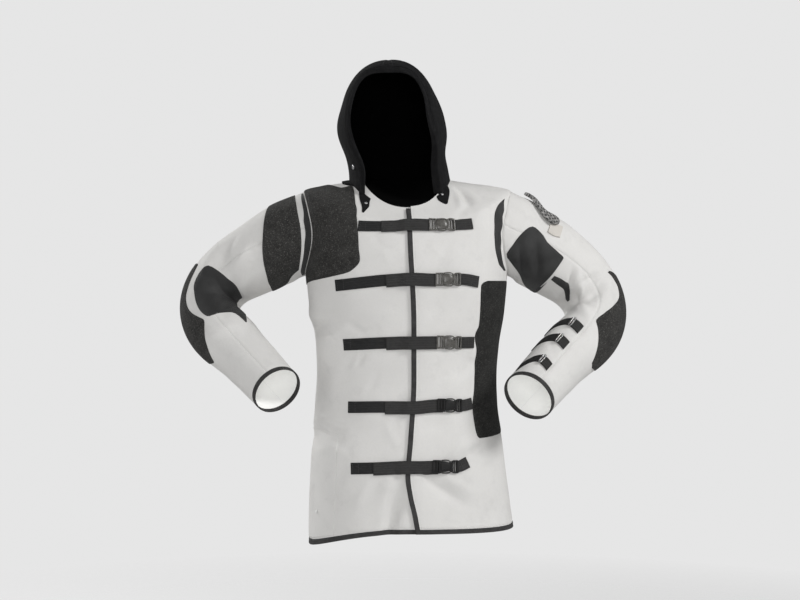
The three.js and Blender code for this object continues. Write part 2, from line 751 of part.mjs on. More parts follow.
// A grid of points at height outside the hood. Its lower edge stays level with the shoulders.
function hoodSkin(spots, height) {
  return spots.map((row) => row.map(([u, v]) => {
    if (Math.abs(u) === 100 || v === 100) return hoodSeat(hoodSeatAngle(u, v), height);
    return hood(u, v).addScaledVector(normalAt(hood, u, v), height);
  }));
}

for (const [name, side] of [["left", 1], ["right", -1]]) {
  const spots = HOOD_ROWS.map((v) => HOOD_COLUMNS.map((u) => [side * u, v]));
  const [outer, inner] = [FLEECE, 0].map((height) => hoodSkin(spots, height));
  for (const [i, v] of HOOD_ROWS.entries()) {
    const apart = hood(1, v).sub(hood(-1, v)).setLength((side * SEAM) / 2);
    outer[i][0].add(apart);
    inner[i][0].add(apart);
  }
  add(`hood_${name}`, shell(outer, inner), COLOUR.fleece);
}
const hoodEdgeColumns = [...HOOD_COLUMNS.slice(1).map((u) => -u).reverse(), ...HOOD_COLUMNS];
const hoodEdgeSpots = HOOD_EDGE.rows.map((v) => hoodEdgeColumns.map((u) => [u, v]));
const edgeOuter = hoodSkin(hoodEdgeSpots, HOOD_EDGE.high);
const edgeInner = hoodSkin(hoodEdgeSpots, HOOD_EDGE.low);
add("hood_edge", shell(edgeOuter, edgeInner), COLOUR.fleece);

// Tabs that hold the hood's corners down on the fronts and on the right shoulder.
const TAB = { low: SEAT, thick: 1.6 };
add("hood_tab_right", fromManifold(laidOn(PANELS.right, outline("v", 1, [
  [4, -42.8, -41.6],
  [44, -47.6, -42.2],
  [62, -51.6, -41.8],
  [76, -54, -42.6],
  [81, -54, -45],
]), TAB)), COLOUR.fleece);
add("hood_tab_left", fromManifold(laidOn(PANELS.left, outline("v", 1, [
  [63, 42.4, 44],
  [72, 41, 47],
  [84, 39, 50],
  [92, 38.6, 53],
  [98, 38.2, 52],
]), TAB)), COLOUR.fleece);
add("hood_tab_side", fromManifold(laidOn(PANELS.right, outline("v", 1, [
  [62, -87, -78],
  [66, -89.5, -76],
  [79, -89.5, -77],
]), { thick: 4 })), COLOUR.fleece);

// ---------------------------------------------------------------- snaps
// A low round cap on a surface, its underside at a height above it.
function cap(surface, u, v, low, radius, side = 1) {
  const geometry = new THREE.CylinderGeometry(0.75 * radius, radius, 2, 12);
  const normal = normalAt(surface, u, v, side);
  const turn = new THREE.Quaternion().setFromUnitVectors(vec(0, 1, 0), normal);
  const place = surface(u, v).addScaledVector(normal, low + 1);
  return geometry.applyQuaternion(turn).translate(place.x, place.y, place.z);
}
const onTab = TAB.low + TAB.thick + SEAT;
add("snap_hood", cap(hood, -92, 16, FLEECE + 1, 5), COLOUR.metal, 0.35, 1);
add("snap_tab_right", cap(body, -45, 58, onTab, 3), COLOUR.metal, 0.35, 1);
add("snap_tab_left", cap(leftFront, 46, 96, onTab, 3), COLOUR.metal, 0.35, 1);
add("snap_pocket", cap(body, -67, -714, SEAT + PATCH + SEAT, 6), COLOUR.metal, 0.35, 1);

// ---------------------------------------------------------------- straps over the front
const LIFT = 0.6;                // clear gap under a strap
const OVER_EDGE = 1.1;           // extra height where a strap crosses the bound edge
function strapSeat(angle, level) {
  const past = bodySection(angle, level).x - FRONT_EDGE.x(level);
  if (past < 0) return LIFT + (LAP + OVER_EDGE) * smooth(-32, -8, past);
  return LIFT + OVER_EDGE * (1 - smooth(30, 85, past)) + lapRise(angle, level);
}

// start, fold, buckle and end are angles round the body; line is the level at each angle.
// From the fold on, the webbing is double.
const STRAPS = [
  { name: "strap_1", start: -40.4, fold: -24.5, buckle: 29, end: 50, line: table("angle level", [
    [-42, -62],
    [-24.5, -52],
    [1.5, -44],
    [19, -46],
    [39, -56],
    [50, -64],
  ]) },
  { name: "strap_2", start: -52.5, fold: -18, buckle: 30.2, end: 51, line: table("angle level", [
    [-52.5, -238],
    [-18, -228],
    [3, -224],
    [20.5, -224],
    [40, -224],
    [51, -230],
  ]) },
  { name: "strap_3", start: -50, fold: -18.5, buckle: 32.2, end: 51, line: table("angle level", [
    [-50, -368],
    [-18.5, -364],
    [4, -362],
    [22, -360],
    [42.5, -362],
    [52, -362],
  ]) },
  { name: "strap_4", start: -47, fold: -19.5, buckle: 33, end: 50.4, line: table("angle level", [
    [-47, -502],
    [-19.5, -500],
    [4, -500],
    [23, -496],
    [43, -498],
    [51, -494],
  ]) },
  { name: "strap_5", start: -42, fold: -26.5, buckle: 27.5, end: 43.5, line: table("angle level", [
    [-42, -630],
    [-26.5, -632],
    [-0.5, -630],
    [19, -628],
    [36, -628],
    [43.5, -620],
  ]) },
];

// Half outlines of the buckle: along the strap and across it.
const BUCKLE_PLATE = [
  [-28, 14],
  [-18, 14],
  [-15, 12.5],
  [-11, 14.5],
  [8, 14.5],
  [12, 11.5],
  [16, 11.5],
  [20, 14.5],
  [25, 14],
  [28, 12],
];
const BUCKLE_CROWN = [
  [-10, 12.5],
  [6, 12.5],
  [9, 9],
];
const BUCKLE_HALF = 28;
const BUCKLE_PLATE_HIGH = 6.4;
const BUCKLE_HIGH = 9;

// A straight-walled block whose outline is mirrored about the middle of the strap.
function mirrored(half, low, high) {
  const other = half.map(([x, y]) => [x, -y]).reverse();
  const shape = new THREE.Shape([...half, ...other].map(([x, y]) => new THREE.Vector2(x, y)));
  const block = new THREE.ExtrudeGeometry(shape, { depth: high - low, bevelEnabled: false });
  return toManifold(block.translate(0, 0, low));
}

function buckle() {
  const slot = mirrored([[-24.5, 11], [-20.5, 11]], 2.6, 20);
  const recess = mirrored([[21, 10.5], [24, 10.5]], 2.6, 20);
  const plate = mirrored(BUCKLE_PLATE, 0, BUCKLE_PLATE_HIGH).subtract(slot).subtract(recess);
  return plate.add(mirrored(BUCKLE_CROWN, BUCKLE_PLATE_HIGH - 1, BUCKLE_HIGH)).refineToLength(24);
}

for (const { name, start, fold, buckle: middle, end, line } of STRAPS) {
  const path = { u: (t) => t, v: line.level, width: () => STRAP_WIDTH };
  const rise = body(middle + 0.5, line.level(middle)).distanceTo(body(middle - 0.5, line.level(middle)));
  const angleAt = (distance) => middle + distance / rise;
  const double = (t) => WEBBING + (WEBBING + 0.1) * smooth(fold - 0.4, fold + 0.4, t);
  const low = (t, u, v) => strapSeat(u, v);
  const high = (t, u, v) => strapSeat(u, v) + double(t);
  const single = between(start, fold - 0.4, 3.4);
  const doubled = between(fold + 0.4, angleAt(-BUCKLE_HALF - SEAM), 3.4);
  add(`${name}_long`, ribbon(body, path, [...single, ...doubled], low, high), COLOUR.webbing);
  const short = between(angleAt(BUCKLE_HALF + SEAM), end, 2.4);
  add(`${name}_short`, ribbon(body, path, short, low, high), COLOUR.webbing);
  const bent = buckle().warp((point) => {
    const angle = angleAt(point[0]);
    const slope = line.level(angle + 0.5) - line.level(angle - 0.5);
    const [u, v] = sideways(body, angle, line.level(angle), [1, slope], point[1]);
    const place = body(u, v).addScaledVector(bodyNormal(u, v), point[2] + strapSeat(u, v));
    place.toArray(point);
  });
  add(`${name}_buckle`, fromManifold(bent), COLOUR.plastic, 0.45);
}

// ---------------------------------------------------------------- straps round the left forearm
// v of the middle of each strap at angles round the sleeve. The folded end lies on the strap.
const FOREARM_STRAPS = [
  ["forearm_strap_1", [
    [77, 388],
    [92, 382],
    [106, 378],
    [125, 383],
    [144, 392],
    [160, 399],
  ]],
  ["forearm_strap_2", [
    [77, 446],
    [92, 439],
    [106, 435],
    [125, 440],
    [144, 448],
    [160, 456],
  ]],
  ["forearm_strap_3", [
    [74, 524],
    [90, 516],
    [104, 512],
    [116, 518],
    [128, 530],
    [142, 543],
  ]],
];
const FOLDED_END = 3;            // rows of the folded end
for (const [name, rows] of FOREARM_STRAPS) {
  const band = (part, half) => outline("u", 1, part.map(([u, v]) => [u, v - half, v + half]));
  const half = STRAP_WIDTH / 2;
  const strap = laidOn(SLEEVES.left, band(rows, half), { thick: WEBBING });
  const endBand = band(rows.slice(0, FOLDED_END), half);
  const end = laidOn(SLEEVES.left, endBand, { low: SEAT + 1, thick: WEBBING + 0.6 });
  add(name, fromManifold(strap.add(end)), COLOUR.webbing);
  const [u, v] = rows[1];
  const bar = band([[u + 4, v - 1], [u + 7, v - 2]], half + 1);
  const slider = laidOn(SLEEVES.left, bar, { low: 2 * SEAT + WEBBING + 1.6, thick: 2 });
  add(name.replace("strap", "slider"), fromManifold(slider), COLOUR.metal, 0.4, 1);
}

// ---------------------------------------------------------------- sling loop on the left upper sleeve
const SLING = table("t u v width low thick", [
  [0, 0, 29, 15, 5, 5],
  [1, 9, 37, 15, 4, 5],
  [2, 20, 45, 14, 2.6, 4],
  [3, 30, 54, 14, 2.2, 3.2],
  [4, 37, 64, 18, 2.4, 3],
  [5, 41, 75, 23, 2.8, 3],
  [6, 43, 86, 24, 2.8, 3],
]);
const slingLow = (t) => SLING.low(t);
const slingHigh = (t) => SLING.low(t) + SLING.thick(t);
const slingStations = between(0, 6, 0.75);
const upperArm = SLEEVES.left.surface;
add("sling_loop", ribbon(upperArm, SLING, slingStations, slingLow, slingHigh), COLOUR.webbing);

export default group;
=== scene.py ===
"""Looks of a hooded shooting jacket: fine cloth, webbing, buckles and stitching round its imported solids.

Shapes are worked out in millimetres in the row frame and written to Blender in metres.
Surfaces take two coordinates: an angle round the form in degrees and a place along it in millimetres.
"""
import math
from types import SimpleNamespace

import bpy
import numpy as np
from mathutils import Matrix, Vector


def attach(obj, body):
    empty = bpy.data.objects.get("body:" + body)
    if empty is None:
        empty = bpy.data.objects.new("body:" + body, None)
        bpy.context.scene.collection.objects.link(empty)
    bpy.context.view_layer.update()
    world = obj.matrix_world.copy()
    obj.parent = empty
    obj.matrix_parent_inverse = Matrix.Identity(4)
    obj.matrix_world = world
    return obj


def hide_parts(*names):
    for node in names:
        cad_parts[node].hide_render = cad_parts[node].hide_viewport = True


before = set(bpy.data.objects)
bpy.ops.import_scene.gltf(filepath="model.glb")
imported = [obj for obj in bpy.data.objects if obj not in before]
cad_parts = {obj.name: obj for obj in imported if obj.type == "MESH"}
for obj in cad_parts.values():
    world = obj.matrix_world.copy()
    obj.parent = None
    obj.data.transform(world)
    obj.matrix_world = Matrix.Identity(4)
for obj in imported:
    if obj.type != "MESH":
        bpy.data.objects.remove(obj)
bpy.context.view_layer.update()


# ---------------------------------------------------------------- driving dimensions, millimetres
MM = 0.001
CANVAS = 2.0            # wall of the body and the sleeves
FLEECE = 2.4            # wall of the hood
PATCH = 1.3             # grip and stretch pieces laid on the canvas
WEBBING = 1.5           # one layer of strap
STRAP_WIDTH = 25
BINDING_WIDTH = 11
BINDING_THICK = 3.6
SEAM = 0.35             # clear gap between two pieces at a seam
SEAT = 0.4              # clear gap under a piece that lies on another
LAP = 4.0               # how far the left front stands over the right one
LAP_FADE = 70
UNDERLAP = 14
HEM_UNDERLAP = 3
HEM = -776
NECK = 115
ARMHOLE = SimpleNamespace(middle=-120, half=95, angle=20, radius=225)
CAP_FADE = 115          # length over which a sleeve turns from armhole to round tube
BODY_DEGREE = 3.7       # length of one degree round the body
SLEEVE_DEGREE = 1.35    # the same round a sleeve
BODY_FOLD_SCALE = 3.2   # the same, as the tables of folds take it
SLEEVE_FOLD_SCALE = 1.3
GRID = 4.5              # spacing of the fine meshes
STITCH = 4.2            # spacing of stitches
THREAD = 0.32           # radius of a stitch
EDGE_STITCH = 3.0       # distance of a line of stitches from the edge of its piece
STATION = 3.0           # spacing of the places that a line of stitches is drawn through
CLOTH_UNDER = -CANVAS + 0.3     # height of the inner face of the canvas


# ---------------------------------------------------------------- small mathematics
def smooth(low, high, x):
    t = np.clip((np.asarray(x, float) - low) / (high - low), 0, 1)
    return t * t * (3 - 2 * t)


def unit(vectors):
    return vectors / np.maximum(np.linalg.norm(vectors, axis=-1, keepdims=True), 1e-12)


def join(*coordinates):
    return np.stack(np.broadcast_arrays(*coordinates), axis=-1)


def numbers(*values):
    """The values as arrays of one shape."""
    return np.broadcast_arrays(*[np.asarray(value, float) for value in values])


def steps(points, axis=0):
    """Distances between neighbours along one axis of a grid of points."""
    return np.linalg.norm(np.diff(points, axis=axis), axis=-1)


def on_line(at, keys, points):
    """Points of a line at given keys."""
    return join(*[np.interp(at, keys, points[:, k]) for k in range(3)])


def spline(keys, values):
    """A monotone cubic through the given keys and values, as a function of arrays."""
    keys = np.array(keys, float)
    values = np.array(values, float)
    widths = np.diff(keys)
    slopes = np.diff(values) / widths
    ends = np.concatenate([slopes[:1], np.zeros(len(keys) - 2), slopes[-1:]])
    for k in range(1, len(keys) - 1):
        before, after = slopes[k - 1], slopes[k]
        if before * after > 0:
            w1 = 2 * widths[k] + widths[k - 1]
            w2 = widths[k] + 2 * widths[k - 1]
            ends[k] = (w1 + w2) / (w1 / before + w2 / after)

    def value(x):
        k = np.clip(np.searchsorted(keys, x) - 1, 0, len(widths) - 1)
        t = (x - keys[k]) / widths[k]
        level = (1 + 2 * t) * (1 - t) ** 2 * values[k] + t * t * (3 - 2 * t) * values[k + 1]
        return level + widths[k] * (t * (1 - t) ** 2 * ends[k] + t * t * (t - 1) * ends[k + 1])

    return value


def round_angles(count):
    return np.linspace(0, 2 * math.pi, count + 1)[:-1]


def table(names, rows):
    """A table whose first column is the key: each named column becomes a smooth function of it."""
    keys = [row[0] for row in rows]
    columns = {name: spline(keys, [row[k] for row in rows]) for k, name in enumerate(names.split())}
    return SimpleNamespace(**columns)


def fold_table(rows):
    """Folds by the place of their middle, tilt in degrees, half length, half width and height."""
    names = ("u", "v", "tilt", "run", "width", "height")
    return [SimpleNamespace(**dict(zip(names, row))) for row in rows]


def normals(surface, u, v, turn=1):
    along_u = surface(u + 0.4, v) - surface(u - 0.4, v)
    along_v = surface(u, v + 1.5) - surface(u, v - 1.5)
    return turn * unit(np.cross(along_u, along_v))


def raised(surface, height, turn=1):
    return lambda u, v: surface(u, v) + normals(surface, u, v, turn) * height(u, v)[..., None]


def lifted(surface, u, v, height, turn=1):
    u, v, height = np.broadcast_arrays(u, v, height)
    return surface(u, v) + normals(surface, u, v, turn) * height[..., None]


def fold_height(folds, scale):
    """Soft ridges and troughs: a bell across, fading out at both ends of its run."""
    def height(u, v):
        u, v = (np.array(x, float) for x in np.broadcast_arrays(u, v))
        total = np.zeros(u.shape)
        for fold in folds:
            a = ((u - fold.u + 180) % 360 - 180) * scale
            b = v - fold.v
            near = (a * a + b * b) < (fold.run + 2.2 * fold.width) ** 2
            a, b = a[near], b[near]
            cosine, sine = math.cos(math.radians(fold.tilt)), math.sin(math.radians(fold.tilt))
            reach = np.maximum(0, 1 - ((a * cosine + b * sine) / fold.run) ** 2)
            total[near] += fold.height * reach ** 2 * np.exp(-((b * cosine - a * sine) / fold.width) ** 2)
        return total
    return height


# ---------------------------------------------------------------- body
# u is the angle round the body: 0 at the front, 90 on the wearer's left. v is the level.
BODY = table("level side left right front back front_lift back_lift right_lift power", [
    (-776, -776, 236, 222, 168, 152, 6, -6, -38, 2.3),
    (-700, -700, 226, 221, 163, 147, 3, -3, -22, 2.3),
    (-630, -630, 216, 218, 157, 139, 0, 0, -10, 2.3),
    (-560, -560, 207, 212, 150, 131, 0, 0, -3, 2.3),
    (-500, -500, 199, 208, 145, 125, 0, 0, 0, 2.3),
    (-430, -430, 197, 205, 143, 122, 0, 0, 0, 2.3),
    (-370, -370, 202, 207, 145, 126, 0, 0, 0, 2.35),
    (-300, -300, 214, 219, 149, 135, 0, 0, 0, 2.4),
    (-215, -215, 222, 228, 150, 142, -2, 0, 0, 2.45),
    (-170, -170, 226, 231, 147, 139, -12, 4, 0, 2.45),
    (-120, -120, 230, 233, 141, 132, -30, 8, 0, 2.45),
    (-70, -70, 233, 235, 134, 121, -52, 5, 0, 2.45),
    (-28, -27, 231, 233, 126, 110, -74, -4, 0, 2.4),
    (15, -15, 192, 192, 118, 100, -76, -2, 0, 2.3),
    (65, -7, 138, 146, 109, 89, -74, 6, 0, 2.2),
    (115, 0, 86, 104, 99, 77, -68, 14, 0, 2.3),
])


def body_section(angle, level):
    sine = np.sin(np.radians(angle))
    cosine = np.cos(np.radians(angle))
    half_width = np.where(sine >= 0, BODY.left(level), BODY.right(level))
    depth = np.where(cosine >= 0, BODY.front(level), BODY.back(level))
    power = BODY.power(level)
    radius = (abs(sine / half_width) ** power + abs(cosine / depth) ** power) ** (-1 / power)
    x = radius * sine
    y = -radius * cosine
    lift = np.where(cosine >= 0, BODY.front_lift(level), BODY.back_lift(level))
    right_lift = np.where(sine < 0, BODY.right_lift(level), 0)
    return join(x, y, BODY.side(level) + lift * (y / depth) ** 2 + right_lift * (x / half_width) ** 2)


# The large folds are those of the solids; the small ones belong to the fine cloth alone.
BODY_FOLDS = fold_table([
    (-76, -332, 8, 70, 17, -5), (-80, -302, 4, 80, 18, 4), (-78, -572, -4, 70, 17, -5),
    (-76, -540, 3, 60, 17, 3), (-22, -720, 78, 70, 22, -5), (30, -700, -62, 95, 24, -4),
    (46, -660, -58, 90, 22, 4), (150, -470, 12, 120, 20, -5), (165, -430, -6, 130, 20, 4),
    (215, -500, -14, 110, 20, -5), (200, -620, 60, 90, 24, 4), (160, -650, -66, 90, 24, 4),
])
BODY_SMALL_FOLDS = fold_table([
    (-13, -750, 80, 90, 15, -10.5), (-20, -700, 70, 70, 18, 3.2), (-5, -700, 80, 56, 10, -3),
    (27, -684, -34, 82, 12, -5), (33, -660, -34, 80, 12, 3.4), (-60, -542, -12, 50, 8, -4),
    (-61, -530, -12, 50, 8, 3), (38, -588, 44, 46, 9, 4.2), (48, -598, 30, 60, 9, -3.4),
    (60, -612, 12, 60, 12, 2.4), (-46, -402, 44, 34, 8, -2.6), (-38, -396, 62, 30, 7, -2.2),
    (-56, -344, 20, 52, 10, 2.6), (-70, -328, 12, 50, 8, -2.8), (-66, -560, -18, 66, 10, -3.2),
    (-54, -590, -30, 60, 10, 2.2), (-30, -520, 20, 70, 16, 1.8), (46, -420, 38, 46, 11, -3),
    (36, -440, 30, 40, 10, 2.2), (60, 50, 70, 58, 10, -7.5), (53, 44, 70, 48, 10, 3),
    (56, -84, 84, 84, 12, 2.6), (66, -130, 86, 60, 9, -2.6), (-20, -150, -70, 60, 16, 1.6),
    (28, -190, 60, 60, 18, -1.6), (-60, -450, 70, 90, 18, 2), (20, -540, 10, 60, 15, -1.8),
    (-62, -318, 14, 46, 8, -1.6), (-58, -350, -8, 40, 7, 1.4), (-40, -330, -34, 34, 7, -1.5),
    (-36, -394, 38, 36, 7, -1.3), (-64, -556, -12, 52, 9, -1.5), (-60, -590, 8, 44, 8, 1.3),
    (-30, -455, 55, 44, 9, -1.2), (-14, -560, -60, 60, 12, 1.3), (-9, -690, 84, 70, 11, -2.4),
    (-33, -680, 64, 70, 13, 1.6), (-50, -650, 74, 80, 12, -1.3), (16, -655, -40, 70, 12, -1.6),
    (24, -672, -46, 64, 10, 1.6), (44, -590, 40, 52, 12, 2), (56, -606, 32, 48, 10, -1.6),
    (60, -700, -76, 70, 13, -1.5), (30, -150, 74, 60, 12, -1.4), (44, -20, 60, 54, 12, -2.2),
    (52, -60, 72, 62, 11, 1.8), (58, -100, 80, 70, 10, -1.5), (38, -36, 40, 44, 10, 1.3),
    (62, -250, 20, 44, 9, -1.4), (48, -400, -20, 40, 10, -1.5), (40, -455, 30, 44, 9, 1.2),
    (20, -300, 62, 60, 14, -1), (-24, -120, -58, 56, 12, -1), (118, -250, 34, 80, 11, -1.8),
    (128, -310, 16, 70, 10, 1.6), (146, -200, 58, 90, 12, 1.5), (136, -120, 72, 80, 12, -1.8),
    (160, -30, 20, 70, 12, -1.4), (184, -360, -8, 90, 11, -1.6), (176, -520, 6, 110, 12, 1.8),
    (196, -250, 84, 90, 14, -1), (206, -30, -24, 70, 12, -1.6), (224, -130, -70, 80, 12, -1.8),
    (214, -210, -54, 80, 12, 1.4), (236, -300, -22, 76, 10, -1.8), (230, -570, -10, 80, 10, -1.5),
    (142, -580, 22, 80, 10, -1.6), (180, -700, 86, 70, 14, -2), (210, -720, 74, 60, 12, 1.6),
    (130, -700, -72, 66, 12, -1.6), (250, -660, 66, 60, 12, 1.4), (100, -420, 10, 40, 10, -1.4),
    (262, -440, -10, 40, 10, -1.4),
])


def unevenness(scale, wave, size):
    """Long shallow swells that keep stiff cloth from looking drawn with a ruler."""
    def height(u, v):
        a = u * scale
        first = np.sin(a / wave + 1.7 * np.sin(v / (1.9 * wave)) + 0.4)
        second = np.sin(v / (1.3 * wave) - 1.3 * np.sin(a / (1.6 * wave)) + 2.1)
        third = np.sin((a + v) / (0.62 * wave) + 2.3 * np.sin((a - v) / (2.4 * wave)))
        return size * (0.5 * first + 0.5 * second + 0.28 * third)
    return height


# Factors on the heights of the small folds, what the back's have besides, and that of the sleeves' folds.
SMALL_FOLD_DEPTH, BACK_FOLD_DEPTH, SLEEVE_FOLD_DEPTH = 1.35, 0.8, 1.2


def body_height(u, v):
    depth = SMALL_FOLD_DEPTH + BACK_FOLD_DEPTH * (1 - smooth(-0.4, 0.1, np.cos(np.radians(u))))
    folds = fold_height(BODY_FOLDS, BODY_FOLD_SCALE)(u, v)
    folds = folds + depth * fold_height(BODY_SMALL_FOLDS, BODY_FOLD_SCALE)(u, v)
    wave = unevenness(BODY_FOLD_SCALE, 34, 0.75)(u, v)
    return folds + wave * smooth(HEM, -740, v) * (1 - smooth(70, 112, v))


body = raised(body_section, body_height)

# x of the middle of the bound front edge at each level.
FRONT_EDGE = table("level x", [
    (-776, 21), (-735, 14), (-690, 4), (-650, -1), (-570, 5), (-440, 12), (-330, 12), (-150, 5), (115, 0),
])


def front_angle(level, shift):
    return np.degrees(np.arctan2(FRONT_EDGE.x(level) + shift, BODY.front(level)))


def lap_rise(angle, level):
    """The left front rises towards its edge, because that edge lies on the right front."""
    from_edge = body_section(angle, level)[..., 0] - FRONT_EDGE.x(level)
    return LAP * (1 - smooth(BINDING_WIDTH, LAP_FADE, abs(from_edge)))


left_front = raised(body_section, lambda u, v: body_height(u, v) + lap_rise(u, v))


def side_inset(level):
    """Angle between the side and the edge of a panel: the armhole, or half a seam."""
    high = (level - ARMHOLE.middle) / ARMHOLE.half
    half_seam = np.degrees(SEAM / 2 / BODY.left(level))
    return half_seam + ARMHOLE.angle * np.sqrt(np.maximum(0, 1 - high * high))


# ---------------------------------------------------------------- sleeves
# u is the angle round the arm: 0 on top, 90 in front. v is the distance from the armhole.
ELBOW_CORNER = 165
PINCH = SimpleNamespace(share=0.28, run=75, side=140)
CUFF_TURN = np.array([0, -0.16, 0])

LEFT_SIZE = table("v up down across", [
    (0, 96, 96, 76), (50, 98, 84, 78), (115, 94, 77, 78), (200, 88, 68, 79),
    (285, 84, 60, 78), (370, 75, 62, 70), (450, 63, 60, 62), (580, 57, 57, 57),
])
RIGHT_SIZE = table("v up down across", [
    (0, 96, 96, 76), (50, 97, 84, 78), (115, 90, 77, 78), (200, 85, 69, 79),
    (290, 80, 60, 78), (380, 74, 62, 69), (460, 62, 57, 60), (595, 54, 54, 54),
])
LEFT_FOLDS = fold_table([
    (95, 215, 62, 70, 15, 6), (118, 236, 70, 60, 14, -6), (75, 240, 58, 70, 15, -5),
    (60, 262, 52, 60, 14, 4), (150, 180, 40, 60, 14, 5), (88, 330, -52, 60, 14, 4),
    (250, 250, -50, 70, 16, -5), (280, 285, -44, 70, 16, 5), (20, 70, -10, 70, 18, -4),
    (300, 80, 20, 80, 18, 4), (98, 75, 28, 64, 7, -5.5), (101, 57, 28, 60, 6, 3.4),
    (110, 43, 20, 44, 6, -5.5), (44, 46, 40, 40, 8, -4), (96, 160, 32, 34, 6, -5), (84, 168, 30, 34, 6, 3),
    (74, 200, -20, 40, 6, -3.4), (84, 196, 66, 52, 8, -2.4), (104, 232, 58, 44, 7, 2.2),
    (64, 214, 46, 46, 8, 1.8), (48, 250, 40, 50, 8, -2), (128, 208, 60, 44, 8, -2.2),
    (96, 292, -44, 48, 8, -1.8), (112, 316, -56, 44, 8, 1.6), (70, 400, -64, 60, 9, -1.4),
    (96, 470, -40, 50, 9, -1.2), (30, 130, 66, 56, 10, -1.6), (270, 226, -46, 56, 9, -2),
    (236, 280, -40, 50, 8, 2), (300, 310, -30, 56, 10, -1.6), (220, 140, 20, 60, 10, -1.6),
    (250, 420, 40, 60, 9, -1.4),
])
RIGHT_FOLDS = fold_table([
    (84, 150, 58, 75, 15, 5), (96, 172, 64, 60, 14, -5), (60, 168, 50, 60, 14, -4),
    (44, 205, 60, 60, 14, 4), (130, 190, 40, 60, 14, 4), (100, 350, -50, 50, 13, -4),
    (60, 400, 20, 70, 14, 3), (250, 250, -50, 70, 16, -5), (280, 285, -44, 70, 16, 5),
    (300, 80, 20, 80, 18, 4), (104, 138, 66, 48, 7, -2.2), (76, 140, 74, 50, 8, 1.8),
    (116, 156, 52, 44, 7, 2), (44, 150, 62, 52, 9, -1.8), (140, 216, 34, 44, 8, -1.8),
    (92, 240, 36, 56, 8, -1.6), (74, 262, 30, 60, 9, 1.6), (110, 290, 24, 50, 9, -1.6),
    (80, 330, -46, 48, 9, -1.4), (112, 430, -40, 56, 9, -1.4), (40, 470, 50, 60, 10, 1.3),
    (270, 226, -46, 56, 9, -2), (236, 280, -40, 50, 8, 2), (300, 310, -30, 56, 10, -1.6),
    (220, 140, 20, 60, 10, -1.6), (250, 420, 40, 60, 9, -1.4),
])


class Sleeve:
    """The middle line, ring frames and surface of one sleeve."""

    def __init__(self, name, side, elbow, cuff, size, folds):
        self.name, self.side, self.size = name, side, size
        self.cuff = np.array(cuff, float)
        elbow = np.array(elbow, float)
        middle = body_section(np.array(90.0 * side), np.array(float(ARMHOLE.middle)))
        self.start = np.array([middle[0] - 4 * side, -2, ARMHOLE.middle])
        self.upper = unit(elbow - self.start)
        self.lower = unit(self.cuff - elbow)
        bend_in = elbow - self.upper * ELBOW_CORNER
        bend_out = elbow + self.lower * ELBOW_CORNER
        t = np.linspace(0, 1, 401)[:, None]
        self.bend = (1 - t) ** 2 * bend_in + 2 * t * (1 - t) * elbow + t * t * bend_out
        self.bend_at = np.concatenate([[0], np.cumsum(steps(self.bend))])
        self.upper_length = np.linalg.norm(bend_in - self.start)
        self.bend_length = self.bend_at[-1]
        self.length = self.upper_length + self.bend_length + np.linalg.norm(self.cuff - bend_out)
        self.elbow_at = self.upper_length + self.bend_length / 2
        self.bend_axis = unit(np.cross(self.upper, self.lower))
        self.top_at_start = unit(np.array([-self.upper[2] * side, 0, self.upper[0] * side]))
        self.cuff_normal = unit(self.lower + CUFF_TURN)
        height, wave = fold_height(folds, SLEEVE_FOLD_SCALE), unevenness(SLEEVE_FOLD_SCALE, 22, 0.6)
        self.around = np.arange(-360, 721, 0.5)
        self.miss = self.armhole(self.around) - self.tube(self.around, 0 * self.around)
        self.surface = raised(
            self.section, lambda u, v: self.shown(v) * (SLEEVE_FOLD_DEPTH * height(u, v) + wave(u, v)), side
        )

    def shown(self, v):
        return smooth(0, 60, v) * (1 - 0.7 * smooth(self.length - 40, self.length, v))

    def centre(self, v):
        v = np.asarray(v, float)[..., None]
        first = self.start + self.upper * v
        last = self.cuff + self.lower * (v - self.length)
        at = v[..., 0] - self.upper_length
        rest = np.where(at[..., None] >= self.bend_length, last, on_line(at, self.bend_at, self.bend))
        return np.where(v <= self.upper_length, first, rest)

    def frame(self, v):
        along = unit(self.centre(v + 1) - self.centre(v - 1))
        turned = np.arctan2(np.cross(self.upper, along) @ self.bend_axis, along @ self.upper)[..., None]
        axis, top = self.bend_axis, self.top_at_start
        kept = axis * (axis @ top) * (1 - np.cos(turned))
        top = top * np.cos(turned) + np.cross(axis, top) * np.sin(turned) + kept
        at_armhole = (1 - smooth(0, CAP_FADE, v))[..., None]
        at_cuff = smooth(self.length - 90, self.length, v)[..., None]
        normal = along * (1 - at_armhole) * (1 - at_cuff)
        normal = unit(normal + np.array([self.side, 0, 0]) * at_armhole + self.cuff_normal * at_cuff)
        top = unit(top - normal * np.sum(top * normal, axis=-1, keepdims=True))
        return top, np.cross(normal, top) * self.side

    def armhole(self, u):
        level = ARMHOLE.middle + (ARMHOLE.half - SEAM) * np.cos(np.radians(u))
        reach = ARMHOLE.angle - math.degrees(SEAM / ARMHOLE.radius)
        return body(self.side * (90 - reach * np.sin(np.radians(u))), level)

    def tube(self, u, v):
        top, front = self.frame(v)
        cosine = np.cos(np.radians(u))
        rise = np.where(cosine > 0, self.size.up(v), self.size.down(v)) * cosine
        across = self.size.across(v) * np.sin(np.radians(u))
        inside = np.maximum(0, np.cos(np.radians(u - PINCH.side))) ** 1.5
        full = 1 - PINCH.share * inside * np.exp(-((v - self.elbow_at) / PINCH.run) ** 2)
        return self.centre(v) + top * (full * rise)[..., None] + front * (full * across)[..., None]

    def section(self, u, v):
        u, v = numbers(u, v)
        miss = on_line(u, self.around, self.miss)
        return self.tube(u, v) + miss * (1 - smooth(0, CAP_FADE, v))[..., None]


